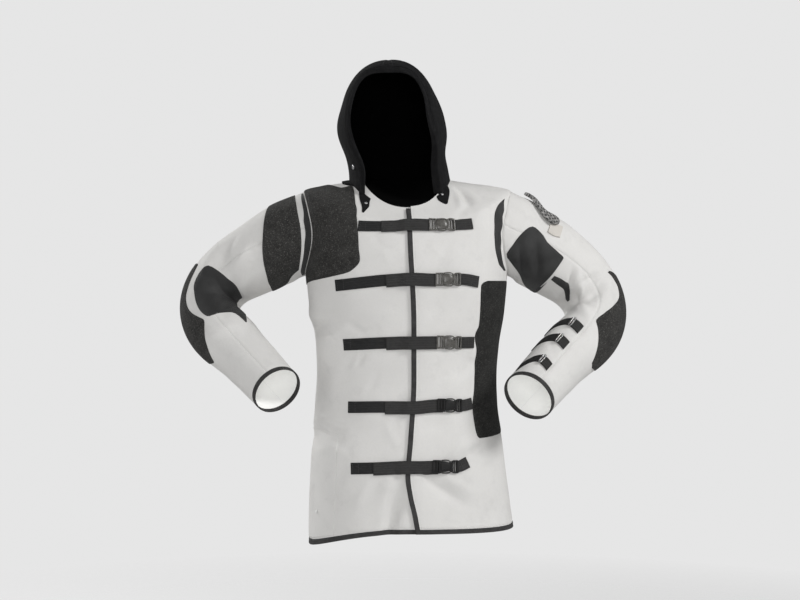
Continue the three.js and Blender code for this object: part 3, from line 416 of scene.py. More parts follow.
LEFT = Sleeve("left", 1, (464, 73, -283), (256, -150, -478), LEFT_SIZE, LEFT_FOLDS)
RIGHT = Sleeve("right", -1, (-492, 73, -268), (-280, -150, -465), RIGHT_SIZE, RIGHT_FOLDS)


# ---------------------------------------------------------------- hood
# u runs over the head from -100 (wearer's right) to 100 (left), v from 0 at the face to 100 at the nape.
# left_base and right_base are the angles on the body where a line of the hood comes down.
HOOD = table("v crown_y crown_z swell left_base right_base roundness", [
    (0, -98, 227, 12, 46, 53, 0.5),
    (8, -90, 243, 17, 53, 60, 0.64),
    (20, -60, 259, 24, 67, 71, 0.81),
    (38, 0, 265, 27, 91, 92, 0.92),
    (58, 68, 250, 27, 111, 112, 0.96),
    (74, 110, 198, 24, 126, 126, 0.95),
    (88, 112, 115, 18, 139, 139, 0.9),
    (100, 84, 20, 0, 150, 150, 0.86),
])
# Level of the seam that carries the hood, how much more it is at the left, and the hood's gap over it.
HOOD_LEVEL, HOOD_LEVEL_SIDE, HOOD_LIFT = 96.5, 12.5, 1.4
# The head leans to the wearer's right and turns to that side.
HOOD_LEAN, HOOD_TURN = -20, math.radians(7)
# The hood is drawn in just above the shoulders.
HOOD_PINCH = SimpleNamespace(left=13, right=7, up=0.18, reach=0.15)
HOOD_FOLDS = fold_table([
    (-62, 22, 60, 60, 10, -2.4), (-74, 40, 40, 60, 11, 2.2), (-48, 60, 50, 60, 12, -2.2),
    (-80, 66, 10, 60, 11, -2), (-20, 44, -70, 60, 13, -1.8), (24, 56, 66, 60, 13, 1.8),
    (58, 30, -50, 60, 11, -2.4), (70, 52, -30, 60, 11, 2.2), (84, 24, -10, 46, 9, -1.8),
    (46, 76, -30, 60, 12, -2.2), (-30, 82, 20, 60, 12, 2), (0, 74, 84, 50, 12, -1.6),
])


def seat_line(outward):
    """The line on the body that carries the hood, moved down the body by a distance."""
    seam = HOOD_LEVEL + HOOD_LEVEL_SIDE * np.sin(np.radians(SEAT_ANGLES))
    rise = np.linalg.norm(body(SEAT_ANGLES, seam + 0.5) - body(SEAT_ANGLES, seam - 0.5), axis=-1)
    return lifted(body, SEAT_ANGLES, seam - outward / rise, HOOD_LIFT)


SEAT_ANGLES = np.arange(-200, 381, 0.5)
HOOD_SEAT = seat_line(0.0)
HOOD_SEAT_STEP = (seat_line(3.0) - HOOD_SEAT) / 3


def hood_seat(angle, outward=0.0):
    step = on_line(angle, SEAT_ANGLES, HOOD_SEAT_STEP)
    return on_line(angle, SEAT_ANGLES, HOOD_SEAT) + step * np.asarray(outward, float)[..., None]


def hood_section(u, v):
    u, v = numbers(u, v)
    share = np.clip(u / 100, -1, 1)
    side = np.where(share < 0, -1, 1)
    base_angle = np.where(side > 0, HOOD.left_base(v), HOOD.right_base(v))
    left_base, right_base = hood_seat(HOOD.left_base(v)), hood_seat(-HOOD.right_base(v))
    base = np.where((side > 0)[..., None], left_base, right_base)
    middle = (left_base[..., 0] + right_base[..., 0]) / 2
    half_base = (left_base[..., 0] - right_base[..., 0]) / 2
    up = np.maximum(np.cos(share * math.pi / 2), 0)
    out = np.sin(abs(share) * math.pi / 2)
    half_width = half_base + HOOD.swell(v) * (1 - (1 - up) ** 2.4)
    pinch = np.where(side > 0, HOOD_PINCH.left, HOOD_PINCH.right) * (1 - smooth(60, 85, v))
    half_width = half_width - pinch * np.exp(-((up - HOOD_PINCH.up) / HOOD_PINCH.reach) ** 2)
    x = middle + side * out ** HOOD.roundness(v) * half_width
    y = base[..., 1] + (HOOD.crown_y(v) - base[..., 1]) * up ** 0.62
    z = base[..., 2] + (HOOD.crown_z(v) - base[..., 2]) * up ** 0.9
    turn = HOOD_TURN * smooth(0, 150, z)
    x = x + HOOD_LEAN * smooth(0, 140, z)
    arch = join(x * np.cos(turn) + y * np.sin(turn), y * np.cos(turn) - x * np.sin(turn), z)
    nape = hood_seat(180 - side * (180 - base_angle) * abs(share))
    return arch + (nape - arch) * smooth(82, 100, v)[..., None]


def hood_height(u, v):
    free = smooth(0, 12, v) * (1 - smooth(84, 100, v)) * (1 - smooth(78, 96, abs(u)))
    return free * fold_height(HOOD_FOLDS, 1.0)(u, v) + free * unevenness(2.4, 30, 0.9)(u, v * 4)


hood = raised(hood_section, hood_height)


def hood_seat_angle(u, v):
    base_angle = np.where(u < 0, HOOD.right_base(v), HOOD.left_base(v))
    behind = 180 - np.where(u < 0, -1, 1) * (180 - base_angle) * abs(u / 100)
    return np.where(v < 100, u * base_angle / 100, behind)


def hood_skin(u, v, height):
    """Points at a height outside the hood, whose lower edge stays level with the shoulders."""
    u, v, height = np.broadcast_arrays(u, v, height)
    free = lifted(hood, u, v, height)
    seated = hood_seat(hood_seat_angle(u, v), height)
    edge = np.maximum(smooth(96, 99.9, abs(u)), smooth(97.5, 99.9, v))[..., None]
    return free + (seated - free) * edge


# ---------------------------------------------------------------- grids and shells
NEAR_EDGE = [0, 1.2, 2.4, 4.2, 6, 7.8, 11]      # close columns beside a seam
NEAR_RIM = [0, 0.7, 1.6, 3, 4.4, 6.5]           # close columns beside the rim of a patch


def shares(width, near, step=GRID):
    """Shares 0 to 1 across rows of the given widths: close together near both edges, even between."""
    width = np.atleast_1d(np.asarray(width, float))[:, None]
    near = np.array(near) * np.minimum(1, width / (2.4 * near[-1]))
    count = max(2, round((width.max() - 2 * near[0, -1]) / step))
    inner = near[:, -1:] + (width - 2 * near[:, -1:]) * np.linspace(0, 1, count + 1)
    return np.concatenate([near[:, :-1], inner, width - near[:, -2::-1]], axis=1) / width


def levels(low, high, near, step=GRID):
    """Values from low to high: close together near both ends, even between."""
    return low + (high - low) * shares(high - low, near, step)[0]


def rounded(inset, radius):
    """Share of the full height at a distance from an edge rounded over a radius."""
    return np.sqrt(np.maximum(0, 1 - (1 - np.clip(inset / radius, 0, 1)) ** 2))


def line_dip(inset, at=EDGE_STITCH, depth=0.35, width=1.1):
    """The shallow groove that a line of stitches pulls into the cloth."""
    return -depth * np.exp(-((inset - at) / width) ** 2)


def cloth_places(points, closed):
    """Places in the flat cloth, in metres: along each row from its middle, and down the middle column."""
    if closed:
        points = np.concatenate([points, points[:, :1]], axis=1)
    middle = points.shape[1] // 2
    along = np.pad(np.cumsum(steps(points, 1), axis=1), ((0, 0), (1, 0)))
    down = np.cumsum(steps(points[:, middle]))
    return join(along - along[:, middle:middle + 1], np.pad(down, (1, 0))[:, None]) * MM


def inside_out(points, quads):
    """Whether a closed form of quads faces inwards."""
    a, b, c, d = (points[quads[:, k]] for k in range(4))
    return np.sum(a * np.cross(b, c)) + np.sum(a * np.cross(c, d)) < 0


def shell(outer, inner, closed=False):
    """A closed wall between two like grids: points, quads, each corner's place in the cloth, layers."""
    rows, columns = outer.shape[:2]
    places = cloth_places(outer, closed)
    grid = np.arange(rows * columns).reshape(rows, columns)
    if closed:
        grid = np.concatenate([grid, grid[:, :1]], axis=1)
    spot = np.arange(places[..., 0].size).reshape(places.shape[:2])

    def faces(g, b):
        sides = [
            (g[:-1, :-1], g[:-1, 1:], g[1:, 1:], g[1:, :-1]),
            (b[:-1, :-1], b[1:, :-1], b[1:, 1:], b[:-1, 1:]),
            (b[0, :-1], b[0, 1:], g[0, 1:], g[0, :-1]),
            (g[-1, :-1], g[-1, 1:], b[-1, 1:], b[-1, :-1]),
        ]
        if not closed:
            sides.append((g[:-1, 0], g[1:, 0], b[1:, 0], b[:-1, 0]))
            sides.append((b[:-1, -1], b[1:, -1], g[1:, -1], g[:-1, -1]))
        return [np.stack(side, axis=-1).reshape(-1, 4) for side in sides]

    sides = faces(grid, grid + rows * columns)
    layers = np.concatenate([np.full(len(side), k == 1, int) for k, side in enumerate(sides)])
    quads = np.concatenate(sides)
    corners = places.reshape(-1, 2)[np.concatenate(faces(spot, spot))]
    points = np.concatenate([outer.reshape(-1, 3), inner.reshape(-1, 3)])
    if inside_out(points, quads):
        quads, corners = quads[:, ::-1], corners[:, ::-1]
    return SimpleNamespace(
        points=points, faces=quads, corners=corners, layers=layers, outer=outer, closed=closed
    )


def wall(panel, u, v, high, low, closed=False):
    """A closed wall over the places u, v of a panel, between two heights."""
    outer = lifted(panel.surface, u, v, high, panel.side)
    return shell(outer, lifted(panel.surface, u, v, low, panel.side), closed)


def joined(parts):
    """Points and faces of several closed forms as one."""
    points, faces, start = [np.zeros((0, 3))], [], 0
    for cloud, pattern in parts:
        points.append(cloud)
        faces += [tuple(start + k for k in face) for face in pattern]
        start += len(cloud)
    return np.concatenate(points), faces


def new_mesh(name, points, faces, materials, sharp=None):
    """A Blender object from points in millimetres."""
    mesh = bpy.data.meshes.new(name)
    mesh.from_pydata((points * MM).tolist(), [], faces)
    for material in materials:
        mesh.materials.append(material)
    mesh.shade_smooth()
    if sharp:
        mesh.set_sharp_from_angle(angle=math.radians(sharp))
    piece = bpy.data.objects.new(name, mesh)
    bpy.context.scene.collection.objects.link(piece)
    return piece


def new_piece(name, form, materials, replaces=(), sharp=None):
    """A piece of the jacket from the points and faces of a form."""
    piece = new_mesh(name, *form, materials, sharp)
    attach(piece, "root")
    if replaces:
        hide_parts(*replaces)
    return piece


def sheet_piece(name, form, materials, node, sharp=42, extra=0.0):
    """A piece of cloth from a shell. materials are for the outer and, where given, the inner layers.

    Its flat cut is measured along the rows and columns of its own cloth. extra is the width that a fold
    adds to the narrower side of the cut.
    """
    piece = new_piece(name, (form.points, form.faces.tolist()), materials, [node], sharp)
    mesh = piece.data
    mesh.uv_layers.new(name="cloth").uv.foreach_set("vector", form.corners.astype(np.float32).ravel())
    layers = np.minimum(form.layers, len(materials) - 1)
    mesh.polygons.foreach_set("material_index", layers.astype(np.int32))
    points = form.outer * MM
    if form.closed:
        points = np.concatenate([points, points[:, :1]], axis=1)
    width, length = steps(points, 1).sum(axis=1).max(), steps(points).sum(axis=0).max()
    corner = np.cross(points[1:, 1:] - points[:-1, :-1], points[1:, :-1] - points[:-1, 1:])
    area = np.linalg.norm(corner, axis=-1).sum() / 2 + extra * MM * max(width, length)
    if width < length:
        width += extra * MM
    else:
        length += extra * MM
    area = float(np.clip(area, 0.3 * width * length, width * length))


# ---------------------------------------------------------------- stitches
LIGHT, DARK = "light_stitching", "dark_stitching"
stitch_lines = {LIGHT: [], DARK: []}


def stitch(group, panel, u, v, height):
    """Records a line of stitches through the places u, v at a height above a panel."""
    u, v, height = numbers(u, v, height)
    outward = normals(panel.surface, u, v, panel.side)
    stitch_lines[group].append((lifted(panel.surface, u, v, height, panel.side), outward))


def stitches(points, outward):
    """Points and faces of the stitches along a line: spindles whose tips sink into the cloth."""
    along = np.concatenate([[0], np.cumsum(steps(points))])
    count = int(along[-1] / STITCH)
    if count < 1:
        return np.zeros((0, 3)), []
    middle = (np.arange(count) + 0.5) * along[-1] / count
    first, last = (on_line(middle + shift, along, points) for shift in (-1.4, 1.4))
    up = unit(on_line(middle, along, outward))
    ahead = unit(last - first)
    aside = np.cross(ahead, up)
    centres = (first + ahead * 0.5, last + ahead * -0.5)
    rings = [centre + THREAD * way for centre in centres for way in (up, aside, -up, -aside)]
    cloud = np.stack([first - 0.4 * up, *rings, last - 0.4 * up], axis=1).reshape(-1, 3)
    pattern = [(1 + k, 1 + (k + 1) % 4, 5 + (k + 1) % 4, 5 + k) for k in range(4)]
    pattern += [(0, 1 + (k + 1) % 4, 1 + k) for k in range(4)]
    pattern += [(9, 5 + k, 5 + (k + 1) % 4) for k in range(4)]
    return cloud, [tuple(10 * n + k for k in face) for n in range(count) for face in pattern]


# ---------------------------------------------------------------- materials
YARN = 0.0013           # pitch of the canvas and tape weaves, metres
RIB = 0.0016            # pitch of the webbing's ribs, metres


class Nodes:
    """A material with a Principled shader, and short calls for the nodes that feed it."""

    def __init__(self, name, colour, roughness, **constants):
        self.material = bpy.data.materials.new(name)
        self.material.use_nodes = True
        self.tree = self.material.node_tree
        self.shader = self.tree.nodes["Principled BSDF"]
        self.shader.inputs["Base Color"].default_value = (*colour, 1)
        self.shader.inputs["Roughness"].default_value = roughness
        for socket, value in constants.items():
            self.shader.inputs[socket.replace("_", " ")].default_value = value

    def node(self, kind, inputs=(), **settings):
        node = self.tree.nodes.new("ShaderNode" + kind)
        for key, value in settings.items():
            setattr(node, key, value)
        for key, value in dict(inputs).items():
            if isinstance(value, bpy.types.NodeSocket):
                self.tree.links.new(value, node.inputs[key])
            else:
                node.inputs[key].default_value = value
        return node

    def math(self, operation, *values):
        return self.node("Math", dict(enumerate(values)), operation=operation).outputs[0]

    def times(self, first, second):
        return self.math("MULTIPLY", first, second)

    def plus(self, first, second):
        return self.math("ADD", first, second)

    def place(self):
        """Place in the flat cloth, in metres, as two numbers."""
        both = self.node("UVMap", uv_map="cloth").outputs[0]
        apart = self.node("SeparateXYZ", {0: both})
        return apart.outputs[0], apart.outputs[1]

    def object_place(self):
        return self.node("TexCoord").outputs["Object"]

    def noise(self, scale, detail=2.0, rough=0.5, vector=None, low=0.35, high=0.65):
        """Noise stretched to run from 0 to 1."""
        inputs = {"Scale": scale, "Detail": detail, "Roughness": rough}
        inputs["Vector"] = vector or self.object_place()
        value = self.node("TexNoise", inputs).outputs["Fac"]
        return self.node("MapRange", {0: value, 1: low, 2: high}).outputs[0]

    def wave(self, place, pitch):
        """A sine of one coordinate with the given pitch in metres."""
        return self.math("SINE", self.times(place, 2 * math.pi / pitch))

    def blend(self, factor, first, second):
        """A mix of two colours. Sockets 0, 6 and 7 are those that a mix of colours uses."""
        first, second = ((*c, 1) if isinstance(c, tuple) else c for c in (first, second))
        return self.node("Mix", {0: factor, 6: first, 7: second}, data_type="RGBA").outputs[2]

    def bump(self, height, distance, strength):
        return self.node("Bump", {"Height": height, "Distance": distance, "Strength": strength}).outputs[0]

    def finish(self, colour=None, normal=None, roughness=None):
        for socket, value in (("Base Color", colour), ("Normal", normal), ("Roughness", roughness)):
            if value is not None:
                self.tree.links.new(value, self.shader.inputs[socket])
        return self.material


def shade(colour, factor):
    return tuple(channel * factor for channel in colour)


def canvas_cloth(name, colour, soil, through=0.0):
    """Stiff plain weave with uneven yarns, a slow mottle and slight greying.

    through is painted light: an even glow of the cloth's own, with no lamp behind it, that keeps the cloth
    bright.
    """
    n = Nodes(name, colour, 0.9, Specular_IOR_Level=0.25, Emission_Strength=through)
    across, down = n.place()
    bent = n.times(n.noise(60, 2), 0.004)
    warp = n.wave(n.plus(across, bent), YARN)
    weft = n.wave(n.math("SUBTRACT", down, bent), YARN)
    yarns = n.noise(700, 4, 0.65)
    height = n.plus(n.times(warp, n.times(weft, 0.5)), n.times(yarns, 1.3))
    slow = n.noise(9, 4, 0.55)
    grain = n.noise(260, 3, 0.7)
    tone = n.blend(slow, shade(colour, 0.955), shade(colour, 1.02))
    fine = n.blend(n.times(grain, 0.35), tone, shade(colour, 0.9))
    worn = n.times(n.noise(26, 6, 0.62, low=0.56, high=0.78), soil)
    return n.finish(n.blend(worn, fine, shade(colour, 0.8)), n.bump(height, 0.00016, 0.7))


def grip_cloth(name, colour, flecked):
    """Dark brushed cloth with lighter fibre ends scattered over it."""
    n = Nodes(name, colour, 0.95, Specular_IOR_Level=0.12, Sheen_Weight=0.02)
    pile = n.noise(700, 5, 0.75, low=0.3, high=0.7)
    flecks = n.noise(420, 2, 0.5, low=0.56, high=0.74)
    mottle = n.noise(40, 4, 0.6)
    tone = n.blend(mottle, shade(colour, 0.78), shade(colour, 1.2))
    patches = n.noise(150, 4, 0.75, low=0.44, high=0.7)
    tone = n.blend(n.times(patches, 0.5 * flecked), tone, (0.062, 0.06, 0.056))
    tone = n.blend(n.times(flecks, 0.75 * flecked), tone, (0.13, 0.127, 0.12))
    return n.finish(tone, n.bump(pile, 0.0007, 0.8))


def stretch_cloth():
    """Smooth knitted stretch cloth: fine ribs and a soft sheen."""
    colour = (0.026, 0.026, 0.026)
    n = Nodes("stretch_cloth", colour, 0.62, Specular_IOR_Level=0.22, Sheen_Weight=0.05)
    across, _ = n.place()
    ribs = n.wave(across, 0.0014)
    tone = n.blend(n.noise(30, 3), shade(colour, 0.85), shade(colour, 1.25))
    return n.finish(tone, n.bump(n.plus(ribs, n.noise(800, 2)), 0.00018, 0.6))


def fleece(name, colour, sheen):
    """Short curly pile with lighter rubbed tufts."""
    n = Nodes(name, colour, 1.0, Specular_IOR_Level=0.06, Sheen_Weight=sheen, Sheen_Roughness=0.7)
    pile = n.noise(330, 6, 0.75, low=0.25, high=0.75)
    tufts = n.noise(75, 4, 0.65, low=0.52, high=0.8)
    across, down = n.place()
    brushed = n.node("CombineXYZ", {0: n.times(across, 0.14), 1: down}).outputs[0]
    streaks = n.noise(70, 5, 0.7, vector=brushed, low=0.45, high=0.85)
    tone = n.blend(n.times(tufts, 0.35), shade(colour, 0.8), shade(colour, 3.5))
    tone = n.blend(n.times(streaks, 0.35), tone, shade(colour, 5.0))
    return n.finish(tone, n.bump(pile, 0.0011, 0.9))


def webbing(name, colour):
    """Woven tape: ribs across and four soft grooves along it, with painted shade darkening the bottom of each
    groove.
    """
    n = Nodes(name, colour, 0.6, Specular_IOR_Level=0.25)
    across, down = n.place()
    ribs = n.wave(down, RIB)
    twill = n.wave(n.plus(across, n.times(down, 0.6)), 0.0022)
    grooves = n.math("ABSOLUTE", n.wave(across, 0.0104))
    height = n.plus(n.plus(ribs, n.times(twill, 0.7)), n.times(grooves, 1.6))
    # Painted shade: the colour darkens towards the bottom of each groove.
    groove_shade = n.math("POWER", grooves, 0.35)
    tone = n.blend(groove_shade, shade(colour, 0.3), shade(colour, 1.1))
    tone = n.blend(n.times(n.noise(120, 4, 0.7), 0.5), tone, shade(colour, 1.6))
    return n.finish(tone, n.bump(height, 0.00028, 0.8))


def tape():
    """Folded binding tape: fine cross ribs and an uneven tone."""
    colour = (0.034, 0.033, 0.033)
    n = Nodes("binding_tape", colour, 0.7, Specular_IOR_Level=0.25)
    across, down = n.place()
    ribs = n.plus(n.wave(across, YARN), n.wave(down, YARN))
    tone = n.blend(n.noise(60, 5, 0.7), shade(colour, 0.72), shade(colour, 1.35))
    return n.finish(tone, n.bump(ribs, 0.00016, 0.6))


def plastic(name, colour, shine, dull=0.26):
    """Moulded acetal: slightly grained, rubbed lighter in places."""
    n = Nodes(name, colour, 0.33, Specular_IOR_Level=shine)
    grain = n.noise(1500, 2)
    rubbed = n.noise(110, 4, 0.6, low=0.45, high=0.75)
    tone = n.blend(n.times(rubbed, 0.6), colour, shade(colour, 1.9))
    rough = n.plus(dull, n.times(rubbed, 0.18))
    return n.finish(tone, n.bump(grain, 0.00006, 0.5), rough)


def metal(name, colour):
    n = Nodes(name, colour, 0.28, Metallic=1.0)
    scratches = n.noise(600, 3, 0.6)
    rough = n.plus(0.2, n.times(scratches, 0.22))
    return n.finish(None, n.bump(scratches, 0.00004, 0.5), rough)


def thread(name, colour):
    n = Nodes(name, colour, 0.6, Sheen_Weight=0.1)
    return n.finish(n.blend(n.noise(300, 2), shade(colour, 0.85), shade(colour, 1.1)))


def patterned_webbing():
    """Dark tape woven with broken light yarns."""
    colour = (0.03, 0.03, 0.03)
    n = Nodes("sling_webbing", colour, 0.6, Sheen_Weight=0.1)
    across, down = n.place()
    slant = n.wave(n.plus(across, down), 0.0105)
    other = n.wave(n.math("SUBTRACT", across, down), 0.0125)
    light = n.times(n.math("MAXIMUM", slant, other), n.noise(170, 3, 0.6, low=0.3, high=0.6))
    ribs = n.wave(down, RIB)
    tone = n.blend(n.math("MAXIMUM", light, 0.0), colour, (0.42, 0.41, 0.4))
    return n.finish(tone, n.bump(n.plus(ribs, light), 0.0003, 0.8))


CANVAS_CLOTH = canvas_cloth("canvas", (0.66, 0.652, 0.636), 0.5)
LINING = canvas_cloth("lining", (0.86, 0.86, 0.84), 0.1)
TAB_CLOTH = canvas_cloth("tab_canvas", (0.58, 0.55, 0.51), 0.8)
# The sleeves' lining glows a little: painted light that keeps the insides of the cuffs bright.
SLEEVE_LINING_PAINTED_GLOW = canvas_cloth("sleeve_lining_painted_glow", (0.84, 0.84, 0.82), 0.1, 0.15)
GRIP = grip_cloth("grip_cloth", (0.029, 0.0285, 0.0275), 1.0)
# A darker copy of the grip cloth for the side patch: painted shade, since the key light falls full on that
# side.
SHADED_SIDE_GRIP = grip_cloth("side_grip_cloth_painted_shade", (0.018, 0.018, 0.0172), 0.5)
STRETCH = stretch_cloth()
FLEECE_CLOTH = fleece("fleece", (0.0085, 0.0085, 0.009), 0.015)
# Near-black: a dark lining, made dark enough to be painted shade inside the hood and the neck too.
BLACK_LINING_AND_SHADE = fleece("black_lining_and_painted_shade", (0.0006, 0.0006, 0.0006), 0.0)
STRAP_WEBBING = webbing("webbing", (0.0115, 0.0115, 0.0117))
DOUBLE_WEBBING = webbing("webbing_double", (0.0255, 0.025, 0.0245))
SLING_WEBBING = patterned_webbing()
TAPE = tape()
# Two copies of one buckle plastic: a lighter, shinier one for the upper three buckles and a darker, duller
# one for the lower two, painted light and painted shade.
LIT_BUCKLE_PLASTIC = plastic("buckle_plastic", (0.075, 0.072, 0.066), 0.5)
SHADED_BUCKLE_PLASTIC = plastic("buckle_plastic_painted_shade", (0.014, 0.014, 0.014), 0.16, 0.5)
METAL = metal("snap_metal", (0.62, 0.62, 0.63))
DULL_WIRE = metal("slider_metal", (0.42, 0.42, 0.42))
PALE_SNAP = plastic("pale_snap", (0.62, 0.62, 0.61), 0.3)
LIGHT_THREAD = thread("light_thread", (0.7, 0.69, 0.66))
DARK_THREAD = thread("dark_thread", (0.05, 0.05, 0.05))


# ---------------------------------------------------------------- panels of the body
def seam_dip(inset, depth=1.1, width=2.6):
    """Cloth turned under at a seam rolls down towards the seam line."""
    return -depth * np.exp(-(np.maximum(inset, 0) / width) ** 2)


def pucker(inset, along, size=0.3, wave=8.5):
    """Small uneven gathers that a line of stitches draws beside a seam."""
    ripple = np.sin(along / wave * 2.4 + 1.3 * np.sin(along / (3.1 * wave)))
    return size * ripple * np.exp(-(inset / 9) ** 2) * smooth(0, 2, inset)


def make_panel(surface, side=1, scale=BODY_DEGREE, first=None, last=None):
    """A surface with the way it faces, and where it has edges their places at each level."""
    return SimpleNamespace(surface=surface, side=side, scale=scale, first=first, last=last)


PANELS = SimpleNamespace(
    right=make_panel(
        body,
        first=lambda level: -90 + side_inset(level),
        last=lambda level: front_angle(level, np.where(level < HEM + BINDING_WIDTH, HEM_UNDERLAP, UNDERLAP)),
    ),
    left=make_panel(
        left_front,
        first=lambda level: front_angle(level, BINDING_WIDTH / 2 - 0.2),
        last=lambda level: 90 - side_inset(level),
    ),
    back=make_panel(
        body,
        first=lambda level: 90 + side_inset(level),
        last=lambda level: 270 - side_inset(level),
    ),
    left_sleeve=make_panel(LEFT.surface, LEFT.side, SLEEVE_DEGREE),
    right_sleeve=make_panel(RIGHT.surface, RIGHT.side, SLEEVE_DEGREE),
    hood=make_panel(hood),
)
ARMHOLE_LEVELS = ARMHOLE.middle - ARMHOLE.half * np.cos(np.linspace(0, math.pi, 57))
PANEL_LEVELS = np.concatenate([
    levels(HEM + BINDING_WIDTH, ARMHOLE_LEVELS[0], NEAR_EDGE)[:-6],
    ARMHOLE_LEVELS,
    levels(ARMHOLE_LEVELS[-1], NECK, NEAR_EDGE)[6:],
])


def row_width(surface, first, last, rows):
    """Length of each row of a surface between two edges."""
    at = first[:, None] + (last - first)[:, None] * np.linspace(0, 1, 41)
    return steps(surface(at, rows[:, None] + 0 * at), 1).sum(axis=1)


def spots(panel, rows, near=NEAR_EDGE):
    """Grid of places on a panel: angles, levels, and the distance to each side edge."""
    first, last = panel.first(rows), panel.last(rows)
    width = row_width(panel.surface, first, last, rows)
    share = shares(width, near)
    u = first[:, None] + (last - first)[:, None] * share
    return u, rows[:, None] + 0 * u, share * width[:, None], (1 - share) * width[:, None]


# Above this the inside of the cloth is near-black: a dark lining that is painted shade as well.
DARK_FROM = 650         # distance up the cloth from which its lining is dark


def set_neck_lining_and_shade(form):
    """The lining round the neck is dark, and so is the rim of the cloth there: a dark lining made near-black
    so that it is painted shade inside the neck as well. Its inner faces and its rim are a layer of their own.
    """
    up = form.corners.reshape(-1, 4, 2)[:, :, 1]
    form.layers[(form.layers == 1) & (up.mean(axis=1) > DARK_FROM * MM)] = 2
    form.layers[up.min(axis=1) > up.max() - 1e-6] = 2


def front_high(v, a, b):
    return seam_dip(a) + pucker(a, v) + seam_dip(v - PANEL_LEVELS[0]) + line_dip(v - PANEL_LEVELS[0], 5, 0.3)


def back_high(v, a, b):
    return front_high(v, a, b) + seam_dip(b) + pucker(b, v + 40)


def left_high(v, a, b):
    return seam_dip(b) + pucker(b, v) + seam_dip(v - PANEL_LEVELS[0]) + line_dip(a, 4, 0.3)


for panel, name, high in (
    (PANELS.right, "front_right", front_high),
    (PANELS.left, "front_left", left_high),
    (PANELS.back, "back", back_high),
):
    u, v, from_first, from_last = spots(panel, PANEL_LEVELS)
    form = wall(panel, u, v, high(v, from_first, from_last), CLOTH_UNDER)
    set_neck_lining_and_shade(form)
    sheet_piece(name + "_cloth", form, [CANVAS_CLOTH, LINING, BLACK_LINING_AND_SHADE], name)


# ---------------------------------------------------------------- bindings
BINDING_LOW = -(CANVAS + BINDING_THICK) / 2     # heights on the surface of the cloth
BINDING_MIDDLE = BINDING_LOW + BINDING_THICK / 2
BINDING_STITCH = BINDING_MIDDLE + 1.35
NEAR_FOLD = [0, 0.25, 0.8, 1.7, 2.8]            # close columns beside a fold
FOLD_STEP = 2.6


def binding(panel, u, v, across, width, along, closed=False):
    """Folded tape with round edges. across is the distance from one edge of it."""
    inset = np.minimum(across, width - across)
    swell = 0.22 * np.sin(along / 11.0 + 1.6 * np.sin(along / 47.0)) + 0.14 * np.sin(along / 4.7)
    half = BINDING_THICK / 2 * rounded(inset, 2.2) + (swell - 0.36) * smooth(0, 2.4, inset)
    half = half + line_dip(across, 2.6, 0.4, 0.7) * smooth(0, 1, inset)
    return wall(panel, u, v, BINDING_MIDDLE + half, BINDING_MIDDLE - np.maximum(half, 0), closed)


def folded_tape(node, form):
    sheet_piece(node + "_tape", form, [TAPE], node, 60, BINDING_THICK)


HEM_WIDTH = BINDING_WIDTH - SEAM
HEM_LEVELS = levels(HEM, HEM + HEM_WIDTH, NEAR_FOLD, FOLD_STEP)
for name in ("right", "left", "back"):
    panel = getattr(PANELS, name)
    u, v, _, _ = spots(panel, HEM_LEVELS, NEAR_FOLD)
    folded_tape("hem_" + name, binding(panel, u, v, HEM + HEM_WIDTH - v, HEM_WIDTH, u * panel.scale))
    stitch(DARK, panel, u[0], HEM + 8.0, BINDING_STITCH)

# The front edge's tape ends this far below the neck.
TAPE_END = 19
edge_levels = levels(HEM, NECK - TAPE_END, NEAR_FOLD, 3.6)
across = levels(0, BINDING_WIDTH, NEAR_FOLD, FOLD_STEP)
u = join(*[front_angle(edge_levels, a - BINDING_WIDTH / 2) for a in across])
v = edge_levels[:, None] + 0 * u
folded_tape("front_edge", binding(PANELS.left, u, v, BINDING_WIDTH - across + 0 * u, BINDING_WIDTH, v))
line = np.arange(HEM + 4, NECK - TAPE_END - 3, STATION)
stitch(DARK, PANELS.left, front_angle(line, 2.9), line, BINDING_STITCH)


# ---------------------------------------------------------------- sleeves
SLEEVE_SEAMS = (72, 252)    # angles round the sleeve


def sleeve_half(sleeve, first, last, rows):
    trim = np.degrees(0.7 * SEAM / sleeve.size.across(rows))
    half = make_panel(sleeve.surface, sleeve.side, first=lambda v: first + trim, last=lambda v: last - trim)
    u, v, from_first, from_last = spots(half, rows)
    inset = np.minimum(from_first, from_last)
    high = seam_dip(inset, 0.9) + pucker(inset, v, 0.35, 7)
    high = high + seam_dip(v, 1.2) + pucker(v, u * SLEEVE_DEGREE, 0.4, 9)
    return wall(half, u, v, high + seam_dip(sleeve.length - BINDING_WIDTH - v, 0.6), CLOTH_UNDER)


for sleeve, panel in ((LEFT, PANELS.left_sleeve), (RIGHT, PANELS.right_sleeve)):
    tape_at = sleeve.length - BINDING_WIDTH
    rows = levels(0, tape_at, NEAR_EDGE)
    for part, first, last in (("top", SLEEVE_SEAMS[1] - 360, SLEEVE_SEAMS[0]), ("under", *SLEEVE_SEAMS)):
        node = f"sleeve_{sleeve.name}_{part}"
        form = sleeve_half(sleeve, first, last, rows)
        sheet_piece(node + "_cloth", form, [CANVAS_CLOTH, SLEEVE_LINING_PAINTED_GLOW], node)
    v = levels(tape_at + SEAM, sleeve.length, NEAR_FOLD, FOLD_STEP)[:, None]
    v, u = np.broadcast_arrays(v, np.linspace(0, 360, 109)[None, :-1])
    folded_tape("cuff_" + sleeve.name, binding(panel, u, v, v - v.min(), BINDING_WIDTH - SEAM, u, True))
    turn = np.linspace(0, 360, 181)
    stitch(DARK, panel, turn, tape_at + 3.0, BINDING_STITCH)
    line = np.arange(8, sleeve.length - 14, STATION)
    for seam in SLEEVE_SEAMS:
        stitch(LIGHT, panel, seam - np.degrees(5.0 / sleeve.size.across(line)), line, -0.05)
    stitch(LIGHT, panel, turn, 5.0, -0.15)


